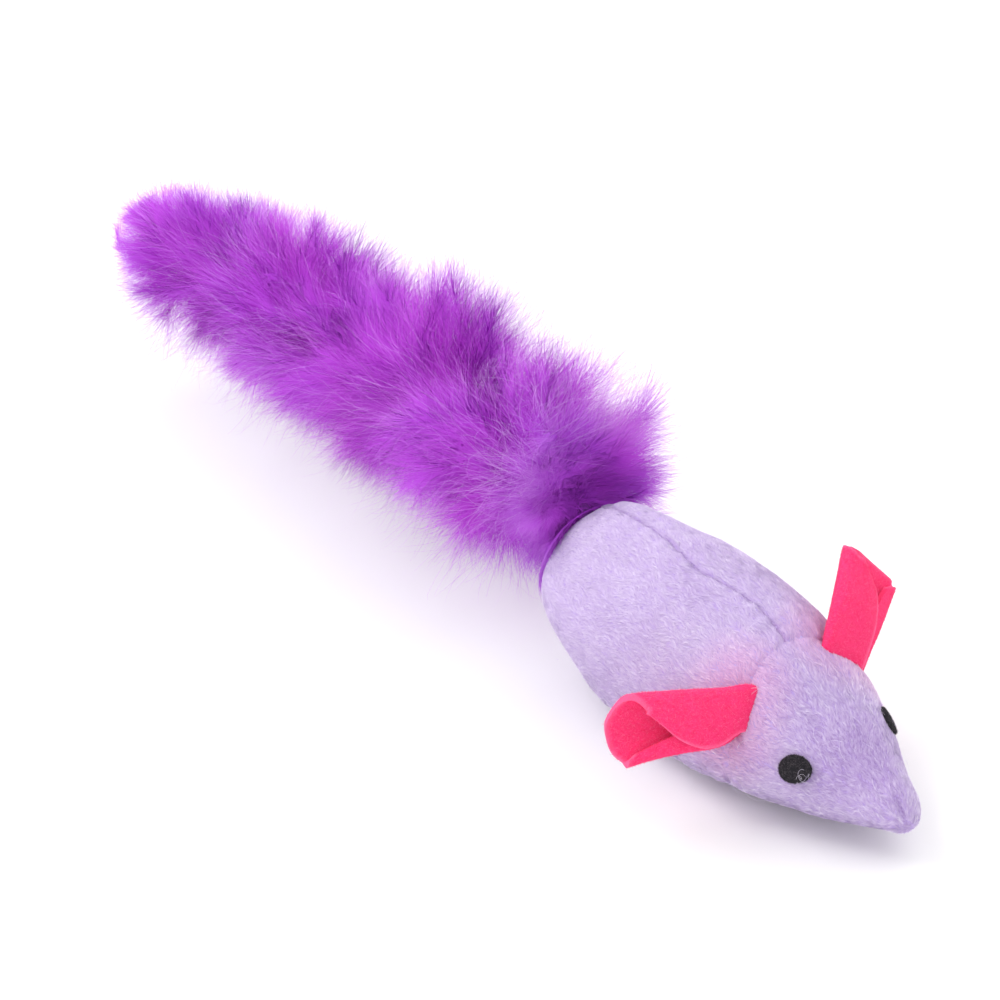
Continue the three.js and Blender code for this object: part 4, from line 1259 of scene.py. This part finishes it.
def twisted_cord(name, middles, side, lift, body, node):
    """A two-ply cord along a path: two lobes round each section that turn as it goes, with round ends."""
    step = np.linalg.norm(np.diff(middles, axis=0), axis=-1)
    gone = np.concatenate([[0], np.cumsum(step)])
    turn = np.linspace(0, 2 * np.pi, 24, endpoint=False)[None, :]
    end = np.minimum(gone, gone[-1] - gone) / CORD_RADIUS
    closing = np.sqrt(1 - (1 - np.clip(end, 0, 1)) ** 2)
    lobe = 0.8 + 0.2 * np.abs(np.cos(turn - gone[:, None] * 1.1))
    radius = (CORD_RADIUS * lobe * closing[:, None])[..., None]
    spoke = np.cos(turn)[..., None] * side + np.sin(turn)[..., None] * lift[:, None]
    rings = middles[:, None] + radius * spoke
    piece = new_piece(name, *closed_rings(rings[1:-1], middles[[0, -1]]), TAIL_CORD)
    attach(piece, body)
    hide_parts(node)


def build_cords():
    """The cord from bend to bend, and its knotted end inside the filling."""
    across = np.array([1.0, 0, 0])
    bends = (SWING_Y, LIFT_Y, MIDDLE_BEND_Y, TIP_BEND_Y, CORD_END_Y)
    bodies = ("tail_neck", "tail_base", "tail_middle", "tail_tip")
    for body, start, end in zip(bodies, bends[:-1], bends[1:]):
        y = np.linspace(start, end, max(12, int((end - start) / 0.5)))
        middles = xyz(0.0, y, TAIL_Z)
        lift = np.tile([0.0, 0, 1], (len(y), 1))
        node = body.replace("tail_", "tail_cord_")
        twisted_cord(node + "_twist", middles, across, lift, body, node)
    start = np.array([0, SWING_Y - 0.4, TAIL_Z])
    knot = start + [0, -KNOT_FORWARD, -KNOT_DROP]
    turn = np.array([0, start[1] - 0.75 * KNOT_FORWARD, TAIL_Z - 0.15 * KNOT_DROP])
    t = np.linspace(0, 1, 40)[:, None]
    middles = start * (1 - t) ** 2 + turn * 2 * t * (1 - t) + knot * t ** 2
    lift = unit(np.cross(across, np.gradient(middles, axis=0)))
    twisted_cord("tail_cord_anchor_twist", middles, across, lift, "root", "tail_cord_anchor")
    latitude = np.linspace(0, np.pi, 24)[1:-1, None]
    longitude = np.linspace(0, 2 * np.pi, 32, endpoint=False)[None, :]
    wound = 1 + 0.1 * np.abs(np.sin(3 * latitude + longitude * 2)) - 0.05
    ball = xyz(np.sin(latitude) * np.cos(longitude), np.sin(latitude) * np.sin(longitude), np.cos(latitude))
    ball = ball * wound[..., None] * KNOT_RADIUS
    ends = np.array([[0, 0, KNOT_RADIUS], [0, 0, -KNOT_RADIUS]])
    points, faces = closed_rings(ball, ends)
    piece = new_piece("tail_knot", points + knot, faces, TAIL_CORD)
    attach(piece, "root")


def marabou_paths(random):
    """Strands of down: plumes wind round the cord, barbs leave each plume's quill, fibres leave each barb."""
    count = PLUMES + ROOT_PLUMES
    plume = np.arange(count)
    is_root = plume >= PLUMES
    start = TAIL_ROOT_Y + 2
    y = start + (PLUME_END_Y - start) * (plume + random.random(count)) / PLUMES
    y = np.where(is_root, TAIL_ROOT_Y + random.uniform(0.5, 5, count), y)
    turn = plume * np.pi * (3 - np.sqrt(5)) + random.normal(0, 0.25, count)
    closing = smoothstep(PLUME_END_Y - 15, PLUME_END_Y, y)
    reach = tail_reach(y, turn) * random.uniform(0.86, 1.08, count) * (1 - 0.35 * closing)
    reach = np.where(is_root, ROOT_PLUME_SIZE, 1.0) * reach
    sweep = random.normal(4, 4, count) - 7 * np.exp(-(y - start) / 7)
    sweep = sweep + 9 * closing
    sweep = np.where(is_root, random.uniform(-9, 0, count), sweep)
    swirl = random.normal(0, 0.3, count)
    s = np.sort(random.random((count, 2, BARBS_A_SIDE)), axis=-1) * 0.95

    def each(values):
        return values.reshape(-1, 1, 1)

    def quill(s):
        radius = CORD_RADIUS + each(reach * (0.74 - 0.4 * closing) - CORD_RADIUS) * s
        return around_tail(each(y) + each(sweep) * s ** 1.4, each(turn) + each(swirl) * s ** 2, radius)

    base = quill(s)
    forward = unit(quill(s + 0.03) - base)
    vane = random.uniform(0, np.pi, (count, 1, 1, 1))
    around = unit(np.cross(from_cord(base), [0, 1, 0]))
    flat = np.cos(vane) * around + np.sin(vane) * np.array([0, 1, 0])
    flat = unit(flat - forward * (flat * forward).sum(-1, keepdims=True))
    hand = np.array([1, -1]).reshape(1, 2, 1, 1)
    barb_reach = (each(reach) * 0.42 + 2) * random.uniform(0.75, 1.25, s.shape) * (1 - 0.25 * s)
    opening = random.normal(0.75, 0.22, s.shape)[..., None]
    way = unit(forward * np.cos(opening) + flat * hand * np.sin(opening) + random.normal(0, 0.2, base.shape))

    shape = (count, 2, BARBS_A_SIDE, FIBRES_IN_BARB)
    length = barb_reach[..., None] * random.uniform(0.55, 1.1, shape)
    directions = unit(way[..., None, :] + random.normal(0, 0.28, (*shape, 3)))
    t = np.linspace(0, 1, STRAND_PLACES)
    curl = noise_vectors(base + way * 6, 7.0, 21)[..., None, :] * 0.3
    bend = forward[..., None, :] * 0.35 + curl + random.normal(0, 0.16, (*shape, 3))
    paths = (
        base[..., None, None, :]
        + directions[..., None, :] * (length[..., None] * t)[..., None]
        + bend[..., None, :] * (length[..., None] * t ** 2)[..., None]
    )
    tone = random.normal(0, 0.04, count).reshape(-1, 1, 1, 1) + random.normal(0, 0.02, s.shape)[..., None]
    tone = tone + random.normal(0, 0.015, shape)
    root = np.broadcast_to(is_root.reshape(-1, 1, 1, 1), shape)
    return paths.reshape(-1, STRAND_PLACES, 3), tone.ravel(), root.ravel()


def cord_fuzz_paths(random):
    """Short down that hides the cord where it leaves the rump: bent lines from it, leaning to the rump."""
    y = random.uniform(SWING_Y - 1.5, CORD_FUZZ_END_Y, CORD_FUZZ)
    turn = random.uniform(0, 2 * np.pi, CORD_FUZZ)
    start = around_tail(y, turn, np.full(CORD_FUZZ, 0.8 * CORD_RADIUS))
    lean = random.normal(-0.5, 0.6, CORD_FUZZ)[:, None] * np.array([0, 1, 0])
    heading = unit(from_cord(start) + lean + random.normal(0, 0.35, (CORD_FUZZ, 3)))
    length = random.uniform(2, 6, CORD_FUZZ)[:, None, None]
    t = np.linspace(0, 1, STRAND_PLACES)[:, None]
    bend = random.normal(0, 0.35, (CORD_FUZZ, 1, 3))
    paths = start[:, None] + heading[:, None] * length * t + bend * length * t ** 2
    return paths, random.normal(0.06, 0.05, CORD_FUZZ)


def wisp_paths(random):
    """Long fine barbs that stand out of the down: each leaves it outwards and curves over by noise."""
    count = WISPS + ROOT_WISPS
    is_root = np.arange(count) >= WISPS
    y = np.where(is_root, TAIL_ROOT_Y + random.uniform(0, 7, count),
                 random.uniform(TAIL_ROOT_Y + 3, PLUME_END_Y + 5, count))
    turn = np.where(is_root, random.normal(np.pi / 2, 0.9, count), random.uniform(0, 2 * np.pi, count))
    start = around_tail(y, turn, tail_reach(y, turn) * random.uniform(0.5, 0.9, count))
    lean = np.where(is_root, random.normal(-0.7, 0.5, count), random.normal(0.2, 0.5, count))
    lean = lean + 1.2 * smoothstep(PLUME_END_Y - 12, PLUME_END_Y + 5, y)
    heading = from_cord(start) + lean[:, None] * np.array([0, 1, 0]) + random.normal(0, 0.3, (count, 3))
    long, short = random.uniform(*ROOT_WISP_LENGTHS, count), random.uniform(*WISP_LENGTHS, count)
    length = np.where(is_root, long, short)[:, None, None]
    t = np.linspace(0, 1, WISP_PLACES)[:, None]
    bend = (noise_vectors(start, 9.0, 91) * 0.5 + random.normal(0, 0.3, (count, 3)))[:, None]
    paths = start[:, None] + unit(heading)[:, None] * length * t + bend * length * t ** 2
    return paths, random.normal(0.26, 0.09, count), is_root


def from_cord(points):
    """Unit directions square off the cord's line to each point."""
    return unit(xyz(points[..., 0], 0.0, points[..., 2] - TAIL_Z))


def down_facing(points):
    """Which way the down faces: off the cord, and at both ends more along it, as an egg does."""
    depth = np.hypot(points[..., 0], points[..., 2] - TAIL_Z) / tail_reach(points[..., 1], turn_of(points))
    root = 1 - smoothstep(46, 64, points[..., 1])
    along = smoothstep(172, 198, points[..., 1]) * (1 - 0.6 * np.clip(depth, 0, 1)) - 1.1 * root
    return unit(from_cord(points) * (1 - 0.45 * root)[..., None] + xyz(0.0, along, 0.4 + 0.3 * root))


def within_reach(paths, soft, at_root):
    """Paths drawn in softly past a share of the tail's photographed outline, and kept off floor and body."""
    off = paths - [0, 0, TAIL_Z]
    radius = np.hypot(off[..., 0], off[..., 2])
    turn = turn_of(paths)
    limit = tail_reach(paths[..., 1], turn)
    over = np.maximum(radius / limit - soft, 0)
    share = np.where(over > 0, soft + over / (1 + REACH_GIVE * over), radius / limit)
    scale = share * limit / np.maximum(radius, 1e-6)
    past = np.maximum(off[..., 1] - LAST_Y, 0)
    y = off[..., 1] - past + past / (1 + past / LAST_GIVE)
    on_rump = at_root[:, None] * (TUFT_ON_RUMP[0] + TUFT_ON_RUMP[1] * smoothstep(0, 0.9, np.cos(turn - 1.1)))
    first_y = TAIL_ROOT_Y + 1 - on_rump
    y = np.where(y < first_y, first_y + (y - first_y) * TUFT_SQUEEZE, y)
    z = np.maximum(TAIL_Z + off[..., 2] * scale, TAIL_LOWEST_Z)
    above = np.maximum(z - TAIL_TOP_Z, 0)
    z = z - above + TAIL_TOP_GIVE * (1 - np.exp(-above / TAIL_TOP_GIVE))
    paths = np.stack([off[..., 0] * scale, y, z], axis=-1)
    return lifted_off_body(paths)


def lifted_off_body(paths):
    """Points that fall inside the rump are moved out to just above the plush."""
    distance = RUMP_Y - paths[..., 1]
    near = (distance > -1) & (distance < 30)
    share = end_share(np.clip(distance, 0.05, 60))
    half = through_stations(WIDTHS, distance) / 2 * share + RUMP_CLEAR
    top = RUMP_POLE_Z + (through_stations(TOPS, distance) - RUMP_POLE_Z) * share + RUMP_CLEAR
    bottom = RUMP_POLE_Z + (through_stations(LIFTS, distance) - RUMP_POLE_Z) * share
    waist = bottom + (top - bottom) * WAIST_SHARE
    x = paths[..., 0] / np.maximum(half, 0.5)
    height = np.where(paths[..., 2] > waist, top - waist, waist - bottom)
    z = (paths[..., 2] - waist) / np.maximum(height, 0.5)
    inside = near & (distance > 0) & (x ** 2 + z ** 2 < 1)
    grow = np.where(inside, 1 / np.maximum(np.sqrt(x ** 2 + z ** 2), 0.2), 1)
    moved = paths.copy()
    moved[..., 0] = paths[..., 0] * grow
    moved[..., 2] = waist + (paths[..., 2] - waist) * grow
    return np.where(inside[..., None], moved, paths)


def down_piece(name, groups, random):
    """One piece from groups of strands (paths, tone, width), joined, with shade painted by their depth and
    light painted at their ends and near the root.
    """
    points, faces, uv, lit = [], [], [], []
    first = 0
    for paths, tone, width in groups:
        taper = np.interp(np.linspace(0, 1, paths.shape[1]), [0, 0.6, 1], [1.0, 0.8, 0.2])[:, None]
        outward = down_facing(paths) + random.normal(0, 0.25, (len(paths), 1, 3))
        own, own_faces, share = ribbon_mesh(paths, width * taper, outward)
        depth = np.hypot(own[:, 0], own[:, 2] - TAIL_Z) / tail_reach(own[:, 1], turn_of(own))
        # painted shade on strands deep in the down, painted light at their ends and near the root
        shade = DOWN_TONE + DOWN_DEPTH_PAINTED_SHADE * smoothstep(0.15, 1.0, depth) + DOWN_TIP_PAINTED_LIGHT * np.tile(share, len(paths))
        shade = shade + DOWN_ROOT_PAINTED_LIGHT * (1 - smoothstep(46, 60, own[:, 1])) + np.repeat(tone, len(share))
        shade = shade + BLOTCH_TONES[0] * noise3(own, 9.0, 41) + BLOTCH_TONES[1] * noise3(own, 3.5, 42)
        uv.append(strand_map(0.5 + 0.5 * noise3(own, 14.0, 43), shade))
        lit.append(unit(down_facing(own) + random.normal(0, 0.1, own.shape)))
        points.append(own)
        faces += [f + first for f in own_faces]
        first += len(own)
    piece = new_piece(name, np.concatenate(points), faces, MARABOU, np.concatenate(uv))
    piece.data.normals_split_custom_set_from_vertices(np.concatenate(lit))
    return piece


def build_marabou():
    """The tail's down: a tuft on the rump, then pieces cut along the tail, each in place of its whorls."""
    random = np.random.default_rng(5)
    down, down_tone, down_root = marabou_paths(random)
    wisps, wisp_tone, wisp_root = wisp_paths(random)
    fuzz, fuzz_tone = cord_fuzz_paths(random)
    down, wisps = within_reach(down, 1.0, down_root), within_reach(wisps, 1.3, wisp_root)

    def chosen(from_y, to_y, root):
        picked = []
        for paths, tone, is_root, width in ((down, down_tone, down_root, STRAND_WIDTH),
                                            (wisps, wisp_tone, wisp_root, WISP_WIDTH)):
            here = (is_root == root) & (paths[:, 0, 1] >= from_y) & (paths[:, 0, 1] < to_y)
            picked.append((paths[here], tone[here], width))
        return picked

    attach(down_piece("marabou_root", chosen(-1e9, 1e9, True), random), "root")
    fuzz_group = (lifted_off_body(fuzz), fuzz_tone, STRAND_WIDTH)
    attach(down_piece("marabou_cord_fuzz", [fuzz_group], random), "root")
    ends = (-1e9, *TAIL_CUTS, 1e9)
    for number, (low, high) in enumerate(zip(ends[:-1], ends[1:])):
        piece = down_piece(f"marabou_down_{number + 1}", chosen(low, high, False), random)
        attach_tail_piece(piece, low, high)
        whorls = [f"plume_whorl_{k + 1:02d}" for k, y in enumerate(WHORL_PLACES) if low <= y < high]
        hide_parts(*whorls)


def attach_tail_piece(piece, low, high):
    """A piece of the tail rides on its body, or, where its strands reach across a joint, stays in place
    unattached.
    """
    for bend, before, after in (
        (LIFT_Y + 3, "tail_neck", "tail_base"),
        (MIDDLE_BEND_Y, "tail_base", "tail_middle"),
        (TIP_BEND_Y, "tail_middle", "tail_tip"),
    ):
        if low < bend < high + 4:
            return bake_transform(piece)
    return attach(piece, "tail_middle" if high < TIP_BEND_Y else "tail_tip")


build_cords()
build_marabou()


# Stray fibres

def loose_fibres(name, paths, outward, width, tones, random):
    """A piece of thin pale ribbons along paths, one tone for each, resting on the body."""
    points, faces, share = ribbon_mesh(paths, np.full((paths.shape[1], 1), width), outward)
    tone = np.repeat(random.uniform(*tones, len(paths)), len(share))
    piece = new_piece(name, points, faces, STRAY, strand_map(0.5, tone))
    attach(piece, "root")


def build_strays():
    """Long pale fibres lying loosely on the plush: short wandering lines just above the form."""
    random = np.random.default_rng(47)
    count, places = STRAYS, 16
    on_head = random.random(count) < 0.75
    distance = np.where(on_head, random.uniform(64, 91, count), random.uniform(8, 62, count))
    angle = random.uniform(-0.3, np.pi + 0.3, count)
    heading = random.uniform(0, 2 * np.pi, count)
    reach = random.uniform(2.0, 5.0, count)
    t = np.linspace(0, 1, places)
    heading = heading[:, None]
    bend = heading + random.normal(0, 0.9, (count, 1)) * t + 0.8 * np.sin(4 * t + heading) * t
    step = reach[:, None] / (places - 1)
    d = distance[:, None] + np.cumsum(np.cos(bend) * step, axis=1)
    a = angle[:, None] + np.cumsum(np.sin(bend) * step, axis=1) / (through_stations(WIDTHS, d) / 2)
    d = np.clip(d, 4, 92)
    lift = 0.3 + random.uniform(0, 0.5, (count, 1)) * np.sin(np.pi * t)
    paths = form_point(d, a, -lift)
    paths[..., 2] = np.maximum(paths[..., 2], 0.1)
    outward = unit(paths - np.array([0, 0, 15.0]))
    loose_fibres("stray_fibres", paths, outward, STRAY_WIDTH, (0.2, 0.95), random)


def build_eye_curls():
    """Fine curled fibres caught on each eye pad: arcs and loops that drift over its lower edge."""
    random = np.random.default_rng(59)
    for name, side, lift, (at, drop), count in (
        ("eye_left_curls", 1, EYE_SEATS[0], (0.2, -0.6), 9),
        ("eye_right_curls", -1, EYE_SEATS[1], (1.6, -1.3), 6),
    ):
        seat, forward, across, normal = eye_frame(side)
        across = across * np.sign(across[2])
        t = np.linspace(0, 1, 22)
        first = random.uniform(0, 2 * np.pi, (count, 1))
        turned = first + random.choice((-1, 1), (count, 1)) * random.uniform(2.5, 6.5, (count, 1)) * t
        radius = random.uniform(0.4, 1.1, (count, 1)) * (1 - 0.4 * t)
        drift = random.normal(0, 0.9, (count, 2, 1)) * t
        u = at + random.normal(0, 0.6, (count, 1)) + radius * np.cos(turned) + drift[:, 0]
        v = drop + random.normal(0, 0.6, (count, 1)) + radius * np.sin(turned) + drift[:, 1]
        stand = lift + EYE_THICKNESS + 0.12 + 0.25 * random.random((count, 1)) * np.sin(np.pi * t)
        paths = seat + u[..., None] * forward + v[..., None] * across + stand[..., None] * normal
        loose_fibres(name, paths, np.broadcast_to(normal, paths.shape), CURL_WIDTH, (0.0, 0.8), random)


build_strays()
build_eye_curls()


# Floor and light

def build_stage():
    """A wide pale floor, and a world that shows white behind it."""
    corners = np.array([[-1, -1, 0], [1, -1, 0], [1, 1, 0], [-1, 1, 0]]) * FLOOR_HALF
    material, _, shader = new_material("floor_white", 1.0, specular=0.0)
    shader.inputs["Base Color"].default_value = (FLOOR_GREY, FLOOR_GREY, FLOOR_GREY, 1)
    floor = new_piece("floor", corners - [0, 0, FLOOR_DROP], np.array([[0, 1, 2, 3]]), material, smooth=False)
    world = bpy.data.worlds.new("studio")
    bpy.context.scene.world = world
    world.use_nodes = True
    tree = world.node_tree
    background = tree.nodes["Background"]
    path = add_node(tree, "ShaderNodeLightPath")
    seen = add_node(tree, "ShaderNodeMath", {"operation": "MAXIMUM"},
                    i0=path.outputs["Is Camera Ray"], i1=path.outputs["Is Glossy Ray"])
    seen = add_node(tree, "ShaderNodeMath", {"operation": "MAXIMUM"},
                    i0=seen.outputs[0], i1=path.outputs["Is Transmission Ray"])
    strength = add_node(tree, "ShaderNodeMapRange", Value=seen.outputs[0])
    strength.inputs["To Min"].default_value = WORLD_LIGHT
    strength.inputs["To Max"].default_value = 1.0
    tree.links.new(strength.outputs["Result"], background.inputs["Strength"])
    background.inputs["Color"].default_value = (1, 1, 1, 1)


def add_lamp(name, place, size, power):
    """A square soft lamp at a place in millimetres, aimed at the middle of the object."""
    light = bpy.data.lights.new(name, "AREA")
    light.shape = "SQUARE"
    light.size = size * MM
    light.energy = power
    lamp = bpy.data.objects.new(name, light)
    bpy.context.scene.collection.objects.link(lamp)
    place = Vector(place) * MM
    lamp.location = place
    lamp.rotation_euler = (place - Vector(LAMPS_AIM) * MM).to_track_quat("Z", "Y").to_euler()


def build_lights():
    """Large soft lamps above and behind on both sides, and a weak low one by the camera."""
    for lamp in LAMPS:
        add_lamp(*lamp)


build_stage()
build_lights()
bpy.context.scene.view_settings.view_transform = "Standard"

bpy.context.view_layer.update()
